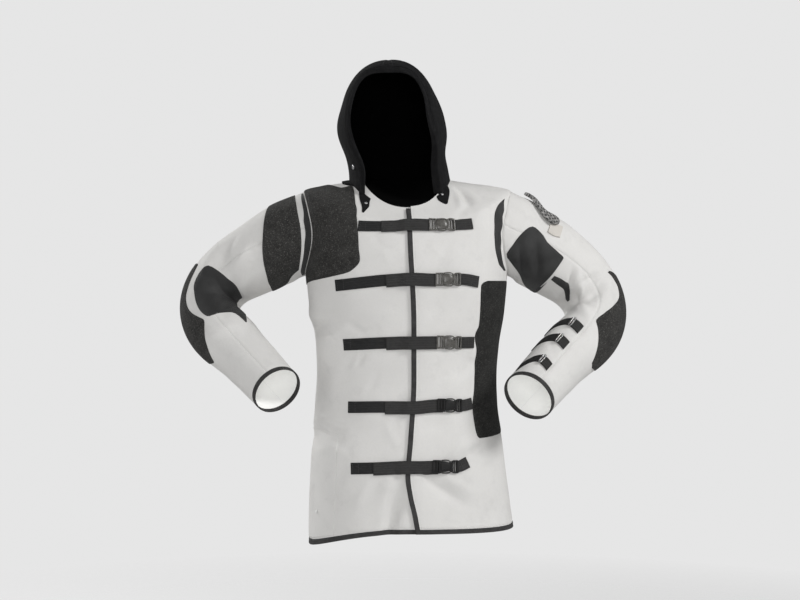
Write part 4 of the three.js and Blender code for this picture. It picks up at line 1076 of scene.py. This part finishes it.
# ---------------------------------------------------------------- pieces laid on the panels
class LaidOn:
    """A flat piece whose outline is given on a panel, and the grid of places that covers it."""

    def __init__(self, panel, along, rows, step=GRID):
        self.panel, self.along = panel, along
        keys, first, last = np.array(rows, float).T
        first, last = spline(keys, first), spline(keys, last)
        self.scale = scale = 1.0 if along == "v" else panel.scale
        length = (keys[-1] - keys[0]) * scale
        self.keys = keys[0] + (keys[-1] - keys[0]) * shares(length, NEAR_RIM, step)[0]
        self.low, self.high = self.clamped(first(self.keys)), self.clamped(last(self.keys))
        start, spread, key = self.low[:, None], (self.high - self.low)[:, None], self.keys[:, None]
        points = panel.surface(*self.places(start + spread * np.linspace(0, 1, 17), key))
        width = np.maximum(steps(points, 1).sum(axis=1), 0.4)
        share = shares(width, NEAR_RIM, step)
        self.u, self.v = self.places(start + spread * share, key)
        down = (key - keys[0]) * scale
        unit_width = width[:, None] / np.maximum(spread, 1e-3)
        slant_low = np.gradient(self.low, self.keys * scale)[:, None] * unit_width
        slant_high = np.gradient(self.high, self.keys * scale)[:, None] * unit_width
        from_low = share * width[:, None] / np.sqrt(1 + slant_low ** 2)
        from_high = (1 - share) * width[:, None] / np.sqrt(1 + slant_high ** 2)
        self.inset = np.minimum(np.minimum(from_low, from_high), np.minimum(down, length - down))

    def clamped(self, edge):
        if self.along == "u" or self.panel.first is None:
            return edge
        return np.clip(edge, self.panel.first(self.keys) + 0.1, self.panel.last(self.keys) - 0.1)

    def places(self, edge, key):
        key = key + 0 * edge
        return (edge, key) if self.along == "v" else (key, edge)

    def form(self, thick, rim=1.0, dip=0.4):
        """A wall of the given thickness over the seat, with a rounded rim and a groove of stitches."""
        top = SEAT + thick
        height = 0.1 + (top - 0.1) * rounded(self.inset, rim)
        height = height + line_dip(self.inset, EDGE_STITCH, dip)
        under = np.minimum(0.12, height - 0.1) + 0 * height
        return wall(self.panel, self.u, self.v, height, under)

    def outline(self, inset):
        """Places along a line that runs at a distance inside the outline."""
        keys = self.keys
        inside = ((keys - keys[0]) * self.scale > inset) & ((keys[-1] - keys) * self.scale > inset)
        keys, low, high = keys[inside], self.low[inside], self.high[inside]
        points = self.panel.surface(*[g[inside][:, [0, -1]].T for g in (self.u, self.v)])
        width = np.maximum(np.linalg.norm(points[1] - points[0], axis=-1), 0.5)
        shift = np.minimum(inset * (high - low) / width, 0.5 * (high - low))
        first, last = low + shift, high - shift
        end = np.linspace(0, 1, 24)[1:-1]
        over, back = first[-1] + (last[-1] - first[-1]) * end, last[0] + (first[0] - last[0]) * end
        edge = np.concatenate([first, over, last[::-1], back, first[:1]])
        key = np.concatenate([keys, keys[-1] + 0 * end, keys[::-1], keys[0] + 0 * end, keys[:1]])
        return self.places(edge, key)

    def stitched(self, group, height):
        stitch(group, self.panel, *self.outline(EDGE_STITCH), height)


LAID_PIECES = [
    ("patch_shoulder", PANELS.right, GRIP, "grip_cloth", "front_right_cloth", "v", [
        (-236, -96, -87), (-220, -96, -57.5), (-206, -96, -43), (-174, -96, -37), (-138, -96, -38.5),
        (-94, -96, -40), (-40, -96, -43), (-6, -96, -45.5), (20, -96, -48.5), (32, -84, -51),
        (54, -72, -56), (72, -71.5, -62.5), (79.5, -71, -67.5),
    ]),
    ("patch_side", PANELS.left, SHADED_SIDE_GRIP, "grip_cloth", "front_left_cloth", "v", [
        (-570, 54, 58), (-565, 52.6, 80), (-561, 52.2, 84), (-546, 51.5, 84), (-504, 51, 84), (-460, 53, 84),
        (-384, 54, 84), (-346, 51.5, 83.5), (-324, 53.5, 83), (-238, 53.2, 82), (-231, 55, 81.5),
        (-227.5, 58, 80),
    ]),
    ("insert_left", PANELS.left, STRETCH, "stretch_cloth", "front_left_cloth", "v", [
        (-205, 73, 75.5), (-190, 67, 71.4), (-171, 65.2, 69.2), (-151, 64, 68.4), (-131, 63.5, 68.8),
        (-112, 63.2, 68.5), (-92, 63.4, 69.6), (-72, 63.7, 69.5), (-56, 64.4, 71.4), (-45, 66, 71.8),
        (-36, 68.5, 72.6), (-31, 72.4, 73.6),
    ]),
    ("pocket", PANELS.right, CANVAS_CLOTH, "canvas", "front_right_cloth", "v", [
        (-762, -88.2, -52), (-561, -88.2, -53), (-556, -88.2, -57.5), (-552, -88.2, -79),
    ]),
    ("insert_right", PANELS.right_sleeve, STRETCH, "stretch_cloth", "sleeve_right_top_cloth", "u", [
        (18, 4, 8), (34, 3.4, 11), (50, 3, 11.6), (64, 3, 15.4), (80, 3, 15.8), (98, 3, 18.6), (122, 3, 18),
        (146, 3.4, 18.4), (165, 4.5, 13),
    ]),
    ("patch_cap", PANELS.right_sleeve, GRIP, "grip_cloth", "sleeve_right_top_cloth", "u", [
        (-70, 40, 48), (-40, 28, 58), (0, 21, 62), (22, 21, 66), (45, 22, 73), (63, 22.5, 80), (91, 24.5, 94),
        (117, 25, 106), (143, 25, 120), (146, 42, 121), (168, 90, 131), (180, 132, 136),
    ]),
    ("inner_elbow_right", PANELS.right_sleeve, STRETCH, "stretch_cloth", "sleeve_right_under_cloth", "v", [
        (194, 111, 116), (200, 83, 130), (216, 53, 152), (234, 49, 158), (258, 47, 164), (284, 51, 168),
        (318, 53, 166), (352, 60, 156), (358, 66, 153), (364, 89, 149), (384, 109, 135), (412, 116, 119),
    ]),
    ("patch_elbow_right", PANELS.right_sleeve, GRIP, "grip_cloth", "sleeve_right_top_cloth", "v", [
        (228, 18, 29), (244, -20, 33), (262, -45, 33.5), (284, -55, 31), (302, -58, 33), (318, -58, 38),
        (342, -55, 48), (354, -52, 52), (372, -44, 43), (402, -25, 21), (426, -5, -1),
    ]),
    ("diamond", PANELS.left_sleeve, STRETCH, "stretch_cloth", "sleeve_left_top_cloth", "v", [
        (6, 117, 123), (20, 100, 131), (50, 57, 144), (64, 62, 151), (76, 70, 157), (100, 75, 168),
        (116.5, 78, 175), (118, 116, 176), (124, 150, 178.5), (130, 179, 181),
    ]),
    ("inner_elbow_left", PANELS.left_sleeve, STRETCH, "stretch_cloth", "sleeve_left_under_cloth", "v", [
        (121, 108, 117), (140, 106, 119), (164, 106, 120), (190, 117, 131), (210, 130, 143), (224, 139, 147),
    ]),
    ("patch_elbow_left", PANELS.left_sleeve, GRIP, "grip_cloth", "sleeve_left_top_cloth", "v", [
        (216, 33, 40), (242, -15, 31), (256, -40, 33), (280, -55, 47), (306, -58, 59), (340, -55, 67),
        (356, -50, 56), (380, -35, 38), (400, -15, 23.5), (414, 0, 13),
    ]),
    ("sling_base", PANELS.left_sleeve, TAB_CLOTH, "canvas", "sleeve_left_top_cloth", "v", [
        (70, 43, 56), (80, 37, 57.5), (90, 34, 55),
    ]),
]
THICKNESS = {"pocket": 0.7, "sling_base": 3.2}      # where it isn't PATCH
for name, panel, material, slot, rests_on, along, rows in LAID_PIECES:
    laid, thick = LaidOn(panel, along, rows), THICKNESS.get(name, PATCH)
    sheet_piece(name + "_piece", laid.form(thick), [material], name, 60)
    laid.stitched(LIGHT if slot == "canvas" else DARK, SEAT + thick - 0.35)


# ---------------------------------------------------------------- hood
for name, side in (("left", 1), ("right", -1)):
    rows = levels(6.2, 100, [0, 0.5, 1, 2, 3.5], 1.5)
    columns = side * levels(0, 100, [0, 0.3, 0.8, 1.6, 3], 1.5)
    v, u = np.meshgrid(rows, columns, indexing="ij")
    seam = -0.9 * np.exp(-(abs(u) * 3.1 / 3) ** 2)
    outer = hood_skin(u, v, FLEECE + seam)
    inner = hood_skin(u, v, 0.3)
    apart = unit(hood(np.ones(len(rows)), rows) - hood(-np.ones(len(rows)), rows)) * side * SEAM / 2
    outer[:, 0] += apart
    inner[:, 0] -= apart
    node = "hood_" + name
    # The inside of the hood is near-black: a dark lining that is painted shade as well.
    sheet_piece(
        node + "_cloth", shell(outer, inner), [FLEECE_CLOTH, BLACK_LINING_AND_SHADE], node
    )
    stitch(DARK, PANELS.hood, side * 1.7, np.arange(8.0, 97.0, 1.0), FLEECE - 0.1)

# How far the front edge turns in towards the face, by its place over the head.
TURN_IN = table("u depth", [(-100, 1.5), (40, 1.5), (56, 4), (70, 8), (82, 13), (92, 16), (100, 18)])
columns = levels(0, 100, [0, 0.4, 1, 2], 1.2)
columns = np.concatenate([-columns[:0:-1], columns])
rows = np.concatenate([np.linspace(-1, -0.06, 12), levels(0, 6, [0, 0.15, 0.5, 1.0], 0.9)])
v, u = np.meshgrid(rows, columns, indexing="ij")
middle = hood_skin(u, np.maximum(v, 0), 1.2)
from_face = middle[..., 0].mean() - middle[..., 0]
inward = unit(join(from_face, 0.3 * abs(from_face), np.minimum(0, 100 - middle[..., 2])))
middle = middle + inward * (np.maximum(-v, 0) * TURN_IN.depth(u))[..., None]
outward = unit(np.cross(np.gradient(middle, axis=1), np.gradient(middle, axis=0)))
inset = np.minimum((v + 1) * TURN_IN.depth(u), (6 - v) * 2.4)
bulge = rounded(inset, 2.6)[..., None]
form = shell(middle + 1.9 * bulge * outward, middle - 1.7 * bulge * outward)
sheet_piece("hood_edge_cloth", form, [FLEECE_CLOTH], "hood_edge", 60, 3.6)
stitch(DARK, PANELS.hood, np.linspace(-97, 97, 400), 4.9, 2.75)

TAB_THICK = 1.6
HOOD_TABS = [
    ("hood_tab_right", PANELS.right, "front_right_cloth", TAB_THICK, [
        (7, -42.8, -41.6), (37, -46.3, -41.4), (49, -49, -41.2), (58, -51.5, -41.8), (79, -58, -44),
        (92, -63, -45),
    ]),
    ("hood_tab_left", PANELS.left, "front_left_cloth", TAB_THICK, [
        (62, 41.5, 43.5), (73, 40, 46.5), (85, 38.6, 51.5), (97, 37.6, 57.5), (110, 38, 62),
    ]),
    ("hood_tab_side", PANELS.right, "front_right_cloth", 4, [
        (62, -87, -79), (66, -89, -76), (76, -88, -72), (83, -84, -68),
    ]),
]
for name, panel, rests_on, thick, rows in HOOD_TABS:
    form = LaidOn(panel, "v", rows, 3).form(thick, rim=1.4, dip=0.3)
    sheet_piece(name + "_cloth", form, [FLEECE_CLOTH], name, 60)


# ---------------------------------------------------------------- snaps
def turned(profile, place, axis):
    """Rings of a round form: a profile of radius and height turned about an axis."""
    axis = unit(axis)
    first = unit(np.cross(axis, np.array([0.3, 0.2, 0.9])))
    second = np.cross(axis, first)
    angle = round_angles(40)[:, None]
    around = first * np.cos(angle) + second * np.sin(angle)
    return np.stack([place + radius * around + height * axis for radius, height in profile])


def closed_rings(rings):
    """A closed form from rings of points, capped at both ends."""
    count, around = rings.shape[:2]
    points = np.concatenate([rings.reshape(-1, 3), rings[:1].mean(axis=1), rings[-1:].mean(axis=1)])
    grid = np.arange(count * around).reshape(count, around)
    grid = np.concatenate([grid, grid[:, :1]], axis=1)
    quads = np.stack([grid[:-1, :-1], grid[:-1, 1:], grid[1:, 1:], grid[1:, :-1]], axis=-1).reshape(-1, 4)
    faces = quads.tolist()
    faces += [(grid[0, k + 1], grid[0, k], count * around) for k in range(around)]
    faces += [(grid[-1, k], grid[-1, k + 1], count * around + 1) for k in range(around)]
    if inside_out(points, quads):
        faces = [tuple(reversed(face)) for face in faces]
    return points, [tuple(int(k) for k in face) for face in faces]


# Share of the radius, and height in millimetres.
SNAP_PROFILE = [
    (0.55, 0), (0.96, 0.05), (1, 0.35), (1, 0.8), (0.93, 1.2), (0.8, 1.42), (0.7, 1.3), (0.6, 1.12),
    (0.4, 1.2), (0.15, 1.28),
]


def snap(name, surface, u, v, low, radius, material=METAL):
    u, v = np.array(float(u)), np.array(float(v))
    profile = [(share * radius, height) for share, height in SNAP_PROFILE]
    rings = turned(profile, lifted(surface, u, v, low), normals(surface, u, v))
    new_piece(name + "_cap", closed_rings(rings), [material], [name], 40)


on_tab = SEAT + TAB_THICK + SEAT
snap("snap_hood", hood, -92, 16, FLEECE + 0.2, 5)
snap("snap_tab_right", body, -45, 58, on_tab, 3)
snap("snap_tab_left", left_front, 45, 100, on_tab, 3)
snap("snap_pocket", body, -67, -714, SEAT + PATCH + 0.1, 4, PALE_SNAP)


# ---------------------------------------------------------------- straps
def sideways(surface, u, v, heading_u, heading_v, distance):
    """Places at distances sideways from the stations u, v of a path, square to its heading."""
    step_u = surface(u + 0.5, v) - surface(u - 0.5, v)
    step_v = surface(u, v + 0.5) - surface(u, v - 0.5)
    along = step_u * heading_u[..., None] + step_v * heading_v[..., None]
    across = unit(np.cross(np.cross(step_u, step_v), along)) * distance[..., None]
    uu, uv, vv = (np.sum(a * b, axis=-1) for a, b in ((step_u, step_u), (step_u, step_v), (step_v, step_v)))
    p, q = np.sum(across * step_u, axis=-1), np.sum(across * step_v, axis=-1)
    scale = uu * vv - uv * uv
    return u + (vv * p - uv * q) / scale, v + (uu * q - uv * p) / scale


class Path:
    """A path over a panel with u, v and width at each station."""

    def __init__(self, panel, u, v, width):
        self.panel, self.u, self.v, self.width = panel, u, v, width

    def places(self, t, distance):
        t, distance = numbers(t, distance)
        heading_u = self.u(t + 0.1) - self.u(t - 0.1)
        heading_v = self.v(t + 0.1) - self.v(t - 0.1)
        return sideways(self.panel.surface, self.u(t), self.v(t), heading_u, heading_v, distance)

    def ribbon(self, t, low, high, rim=0.5):
        """Webbing along stations t, with rounded edges and its thickness between two heights."""
        width = self.width(t)
        share = shares(width, [0, 0.2, 0.6, 1.4], 2.6)
        u, v = self.places(t[:, None], (share - 0.5) * width[:, None])
        inset = np.minimum(share, 1 - share) * width[:, None]
        low, high = low(t[:, None], u, v), high(t[:, None], u, v)
        middle = (low + high) / 2
        half = (high - low) / 2 * (0.4 + 0.6 * rounded(inset, rim))
        return wall(self.panel, u, v, middle + half, middle - half)


LIFT = 0.6              # clear gap under a strap
OVER_EDGE = 1.1         # how much more it stands over the front edge


def strap_seat(angle, level):
    past = body_section(angle, level)[..., 0] - FRONT_EDGE.x(level)
    right = LIFT + (LAP + OVER_EDGE) * smooth(-32, -8, past)
    left = LIFT + OVER_EDGE * (1 - smooth(30, 85, past)) + lap_rise(angle, level)
    return np.where(past < 0, right, left)


STRAPS = [
    ("strap_1", -41.2, -24.5, 29, 50, [
        (-42, -62), (-24.5, -52), (1.5, -44), (19, -46), (39, -56), (50, -64),
    ]),
    ("strap_2", -52.5, -18, 30.2, 51, [
        (-52.5, -238), (-18, -226), (3, -222.5), (20.5, -224), (40, -224), (51, -230),
    ]),
    ("strap_3", -50, -18.5, 32.2, 51, [
        (-50, -367), (-18.5, -362), (4, -360), (22, -360), (42.5, -362), (52, -362),
    ]),
    ("strap_4", -47, -19.5, 33, 50.4, [
        (-47, -502), (-19.5, -500), (4, -500), (23, -496), (43, -498), (51, -494),
    ]),
    ("strap_5", -42, -26.5, 27.5, 43.5, [
        (-42, -630), (-26.5, -629.5), (-0.5, -627), (19, -627), (36, -628), (43.5, -620),
    ]),
]
BUCKLE_HALF = 28        # half the length of a buckle


def bar(x, y, half_width, low, high, corner=3.2, around=16):
    """Rings of a bar that runs along x, with a rounded box section."""
    x, y, half_width, low, high = numbers(x, y, half_width, low, high)
    angle = round_angles(around) + math.pi / around
    cosine, sine = np.cos(angle), np.sin(angle)
    reach = (abs(cosine) ** corner + abs(sine) ** corner) ** (-1 / corner)
    side = y[:, None] + half_width[:, None] * reach * cosine
    rise = (low + high)[:, None] / 2 + (high - low)[:, None] / 2 * reach * sine
    return join(x[:, None] + 0 * side, side, rise)


def cross_bar(x, reach, low, high, half):
    """A bar across the strap at x, from -reach to reach."""
    return bar(np.linspace(-reach, reach, 9), x, half, low, high)[..., [1, 0, 2]]


def ends(x, length, start, stop):
    """Share of full size along x, rounded down to a quarter at both ends over a length."""
    return 0.25 + 0.75 * rounded(np.minimum(x - start, stop - x), length)


# Place along the strap, reach to each side, lowest and highest level, and half thickness.
CROSS_BARS = [
    (-26.3, 12.6, 0.9, 5.2, 1.7), (-18.6, 12.4, 0.9, 6.0, 1.6), (-12.2, 12.8, 0.5, 6.2, 2.4),
    (14.2, 9.6, 0.6, 5.8, 2.6), (19.2, 12.0, 0.9, 5.6, 1.2), (26.2, 12.8, 0.6, 4.8, 1.7),
]
# Place along the strap, half width and height of the housing.
HOUSING = [
    (-11, 9.4, 6.0), (-10.4, 10.6, 7.2), (-9.4, 11.4, 8.1), (-7.5, 11.8, 8.7), (-5, 11.9, 8.95),
    (-2, 11.8, 9.0), (1, 11.5, 8.95), (4, 11.0, 8.8), (6.5, 10.2, 8.4), (8.5, 8.8, 7.8), (10, 7.4, 7.0),
    (11.2, 6.6, 6.4), (11.9, 6.0, 5.8), (12.2, 5.2, 5.0),
]


def buckle_parts():
    """Rings of the parts of a side-release buckle: x along the strap, y across, z off the cloth."""
    def pair(x, y, half_width, rounding, low, high):
        """Two like bars, one at each side of the strap."""
        half = half_width * ends(x, rounding, x[0], x[-1])
        return [bar(x, side * y, half, low, high) for side in (-1, 1)]

    parts = pair(np.linspace(-28, -9, 14), 12.4, 1.9, 1.4, 0.4, 5.4)
    x = np.linspace(-9, 13, 16)
    swell = 13.1 + 1.1 * np.sin((x + 9) / 22 * math.pi) - 2.2 * smooth(6, 13, x)
    parts += pair(x, swell, 1.25, 2, 1.4, 5.6)
    x = np.linspace(8, 27.6, 16)
    parts += pair(x, 8.6 + 4.0 * smooth(9, 19, x), 1.9, 1.6, 0.5, 5.6 - 0.9 * smooth(20, 27, x))
    parts += [cross_bar(*row) for row in CROSS_BARS]
    x, half, crown = np.array(HOUSING).T
    parts.append(bar(x, 0, half, 0.3, crown, 2.7, 24))
    x = np.linspace(-6, 5, 6)
    return parts + [bar(x, y, 0.7 * ends(x, 2, -6, 5), 8.2, 9.25, 2.4, 8) for y in (-5.4, 0, 5.4)]


NEAR_END = [0, 0.15, 0.5, 1]        # close rows beside the end of a strap, in degrees
DOUBLED = SimpleNamespace(lower=2.0, wider=2.6, gap=0.05)   # how the doubled webbing lies on the single one
SHORT_THICK = 1.8 * WEBBING         # the short end is folded too

for name, start, fold, middle, end, line in STRAPS:
    line = spline([row[0] for row in line], [row[1] for row in line])
    path = Path(PANELS.right, lambda t: t, line, lambda t: STRAP_WIDTH + 0 * t)
    here = np.array(float(middle))
    rise = np.linalg.norm(body(here + 0.5, line(here)) - body(here - 0.5, line(here)))
    dark = name in ("strap_4", "strap_5")
    stop = middle - (BUCKLE_HALF - (15 if dark else 3)) / rise
    flutter = unevenness(3.0, 17, 0.25)

    def low_face(t, u, v):
        return strap_seat(u, v) - 0.25 + 0.35 * flutter(u, v)

    def high_face(t, u, v):
        return low_face(t, u, v) + WEBBING

    def doubled_face(t, u, v):
        taper = 0.3 + 0.7 * smooth(fold, fold + 0.6, t)
        return high_face(t, u, v) + DOUBLED.gap + WEBBING * taper

    def strap_piece(part, form, material, node):
        piece, node = f"{name}_{part}_webbing", f"{name}_{node}"
        sheet_piece(piece, form, [material], node, 50)

    form = path.ribbon(levels(start, stop, NEAR_END, 1), low_face, high_face)
    strap_piece("long", form, STRAP_WEBBING, "long")
    wider = STRAP_WIDTH + DOUBLED.wider
    upper = Path(PANELS.right, lambda t: t, lambda t: line(t) - DOUBLED.lower, lambda t: wider + 0 * t)
    rows = levels(fold, stop - 0.6, NEAR_END, 1)
    form = upper.ribbon(rows, lambda t, u, v: high_face(t, u, v) + DOUBLED.gap, doubled_face)
    strap_piece("double", form, DOUBLE_WEBBING, "long")
    rows = levels(middle + (BUCKLE_HALF - 5) / rise, end, NEAR_END, 1)
    form = path.ribbon(rows, low_face, lambda t, u, v: low_face(t, u, v) + SHORT_THICK)
    strap_piece("short", form, DOUBLE_WEBBING, "short")

    parts = []
    for rings in buckle_parts():
        u, v = path.places(middle + rings[..., 0] / rise, rings[..., 1])
        parts.append(closed_rings(lifted(body, u, v, rings[..., 2] + strap_seat(u, v))))
    # The upper three buckles take the lighter copy of the plastic (painted light), the lower two the darker
    # copy (painted shade).
    moulded = [SHADED_BUCKLE_PLASTIC if dark else LIT_BUCKLE_PLASTIC]
    new_piece(f"{name}_buckle_body", joined(parts), moulded, [f"{name}_buckle"], 38)
    across = np.linspace(-10.5, 10.5, 12)
    for at, thick in (
        (start + 1.3, WEBBING), (start + 5.2, WEBBING), (end - 1.5, SHORT_THICK), (end - 4.4, SHORT_THICK),
    ):
        u, v = path.places(at, across)
        stitch(DARK, PANELS.right, u, v, strap_seat(u, v) + thick - 0.2)


# ---------------------------------------------------------------- straps round the left forearm
FOREARM_STRAPS = [
    [(77, 388), (92, 382), (106, 378), (125, 383), (144, 392), (160, 399)],
    [(77, 446), (92, 439), (106, 435), (125, 440), (144, 448), (160, 456)],
    [(74, 524), (90, 516), (104, 512), (116, 518), (128, 530), (142, 543)],
]
HALF_STRAP = STRAP_WIDTH / 2
panel = PANELS.left_sleeve


def wire_ring(points, radius, around=10):
    """A closed ring of wire through the given points."""
    ahead = unit(np.roll(points, -1, axis=0) - np.roll(points, 1, axis=0))
    out = unit(points - points.mean(axis=0))
    out = unit(out - ahead * np.sum(out * ahead, axis=-1, keepdims=True))
    other = np.cross(ahead, out)
    angle = round_angles(around)[:, None]
    rings = points[:, None] + radius * (out[:, None] * np.cos(angle) + other[:, None] * np.sin(angle))
    count = len(points)
    faces = []
    for i in range(count):
        for k in range(around):
            j, m = (i + 1) % count, (k + 1) % around
            faces.append((i * around + k, i * around + m, j * around + m, j * around + k))
    return rings.reshape(-1, 3), faces


for number, rows in enumerate(FOREARM_STRAPS, 1):
    strap, slider = f"forearm_strap_{number}", f"forearm_slider_{number}"
    whole = LaidOn(panel, "u", [(u, v - HALF_STRAP, v + HALF_STRAP) for u, v in rows], 2.6)
    form = whole.form(WEBBING, rim=0.6, dip=0.0)
    sheet_piece(strap + "_webbing", form, [STRAP_WEBBING], strap, 50)
    reach = HALF_STRAP + 0.6
    tip = LaidOn(panel, "u", [(u, v - reach, v + reach) for u, v in rows[:3]], 2.6)
    top = SEAT + WEBBING + 0.1 + (WEBBING + 0.5) * (0.35 + 0.65 * rounded(tip.inset, 1.2))
    form = wall(panel, tip.u, tip.v, top, SEAT + WEBBING + 0.08 + 0 * top)
    sheet_piece(strap + "_end_webbing", form, [DOUBLE_WEBBING], strap, 50)
    u0, v0 = rows[1]
    left, right, reach = u0 + 3.4, u0 + 8.2, HALF_STRAP + 1.6
    corners = np.array([(left, -reach), (right, -reach), (right, reach), (left, reach)])
    ring = []
    for k in range(4):
        a, b = corners[k], corners[(k + 1) % 4]
        ring += [a + (b - a) * s for s in np.linspace(0.12, 0.88, 6 if k % 2 == 0 else 14)]
    ring = np.array(ring)
    slope = (rows[2][1] - v0) / (rows[2][0] - u0)
    level = v0 + (ring[:, 0] - u0) * slope + ring[:, 1]
    points = lifted(panel.surface, ring[:, 0], level, SEAT + 2 * WEBBING + 2.2)
    new_piece(slider + "_wire", wire_ring(points, 0.9), [DULL_WIRE], [slider], 80)


# ---------------------------------------------------------------- sling loop on the left upper sleeve
SLING = table("t u v width low thick", [
    (0, -1, 29, 12, 6, 6), (0.4, 2, 32, 21, 6, 8), (1, 8, 38, 17, 5, 7), (2, 18, 45, 14, 4, 6),
    (3, 27, 53, 16, 4, 5), (4, 32, 62, 22, 5, 5), (5, 34, 71, 27, 6, 5), (5.6, 34.6, 77, 24, 6, 5),
    (6, 35, 81, 12, 6, 4),
])
sling = Path(PANELS.left_sleeve, SLING.u, SLING.v, SLING.width)
form = sling.ribbon(
    np.linspace(0, 6, 61),
    lambda t, u, v: SLING.low(t) + 0 * u,
    lambda t, u, v: SLING.low(t) + SLING.thick(t) * (0.86 + 0.14 * abs(np.sin(t * 9))) + 0 * u,
    rim=2.0,
)
sheet_piece("sling_loop_webbing", form, [SLING_WEBBING], "sling_loop", 60, 6)


# ---------------------------------------------------------------- stitching on the canvas
# Panel, angle of its side seam, and the way from there to the middle of the panel.
SIDE_SEAMS = ((PANELS.right, -90, 1), (PANELS.left, 90, -1), (PANELS.back, 90, 1), (PANELS.back, 270, -1))
level = np.arange(HEM + 18, ARMHOLE.middle - ARMHOLE.half - 4, STATION)
for panel, side, turn in SIDE_SEAMS:
    stitch(LIGHT, panel, side + turn * (side_inset(level) + 1.5), level, -0.1)
around = np.linspace(0.06, math.pi - 0.06, 150)
high = ARMHOLE.middle - (ARMHOLE.half + 5) * np.cos(around)
for panel, side, turn in SIDE_SEAMS:
    stitch(LIGHT, panel, side + turn * (ARMHOLE.angle + 1.5) * np.sin(around), high, 0.0)
level = np.arange(ARMHOLE.middle + ARMHOLE.half + 7, NECK - 24, STATION)
for panel, side, turn in SIDE_SEAMS:
    stitch(LIGHT, panel, side + turn * 1.6, level, 0.0)
level = np.arange(HEM + 14, NECK - 24, STATION)
stitch(LIGHT, PANELS.left, front_angle(level, BINDING_WIDTH / 2 + 4.5), level, 0.0)
for panel in (PANELS.right, PANELS.left, PANELS.back):
    row = np.array([HEM + BINDING_WIDTH + 5.0])
    u = np.linspace(panel.first(row)[0] + 1, panel.last(row)[0] - 1, 160)
    stitch(LIGHT, panel, u, row, 0.0)

for group, material, slot in ((LIGHT, LIGHT_THREAD, "canvas"), (DARK, DARK_THREAD, "webbing")):
    new_piece(group, joined([stitches(*line) for line in stitch_lines[group]]), [material])


# ---------------------------------------------------------------- floor, light and camera
def stage_floor(level, radius, around):
    """A wide pale disc under the jacket whose rim fades into the background."""
    angle = round_angles(around)
    rim = join(radius * np.cos(angle), radius * np.sin(angle), level)
    n = Nodes("floor", (0.79, 0.79, 0.79), 0.9)
    out = n.node("VectorMath", {0: n.object_place()}, operation="LENGTH").outputs["Value"]
    fade = n.node("MapRange", {0: out, 1: 1.6, 2: 3.6, 3: 1.0, 4: 0.0}).outputs[0]
    n.tree.links.new(fade, n.shader.inputs["Alpha"])
    faces = [(0, 1 + k, 1 + (k + 1) % around) for k in range(around)]
    new_mesh("floor", np.concatenate([[(0, 0, level)], rim]), faces, [n.material])


def area_light(name, place, aim, size, power):
    """A round lamp that looks at a level of the jacket's middle line."""
    light = bpy.data.lights.new(name, "AREA")
    light.shape = "DISK"
    light.size = size
    light.energy = power
    lamp = bpy.data.objects.new(name, light)
    lamp.location = place
    lamp.rotation_euler = (Vector((0, 0, aim)) - Vector(place)).to_track_quat("-Z", "Y").to_euler()
    bpy.context.scene.collection.objects.link(lamp)


stage_floor(-1420, 4500, 96)
area_light("key", (3.3, -1.7, 1.9), -0.25, 1.2, 122)
area_light("fill", (-3.4, -2.6, 0.8), -0.3, 2.4, 44)
area_light("front_fill", (0.2, -5.2, -0.1), -0.35, 2.2, 80)
area_light("back_light", (-3.0, 2.4, 2.1), -0.25, 1.3, 130)

WORLD_LIGHT, WORLD_SEEN = 0.24, 0.79    # strength of the background for the object, and as the camera sees it
world = bpy.data.worlds.new("studio")
world.use_nodes = True
background = world.node_tree.nodes["Background"]
seen = world.node_tree.nodes.new("ShaderNodeLightPath").outputs["Is Camera Ray"]
strength = world.node_tree.nodes.new("ShaderNodeMapRange")
world.node_tree.links.new(seen, strength.inputs[0])
strength.inputs[3].default_value = WORLD_LIGHT
strength.inputs[4].default_value = WORLD_SEEN
world.node_tree.links.new(strength.outputs[0], background.inputs["Strength"])
background.inputs["Color"].default_value = (1, 1, 1, 1)
bpy.context.scene.world = world

lens = bpy.data.cameras.new("camera")
lens.lens = 64
lens.sensor_width = 36
lens.dof.use_dof = False
camera = bpy.data.objects.new("camera", lens)
camera.location = (-0.018, -3.2, -0.27)
camera.rotation_euler = (math.pi / 2, 0, 0)
bpy.context.scene.collection.objects.link(camera)
bpy.context.scene.camera = camera
bpy.context.scene.view_settings.view_transform = "Standard"
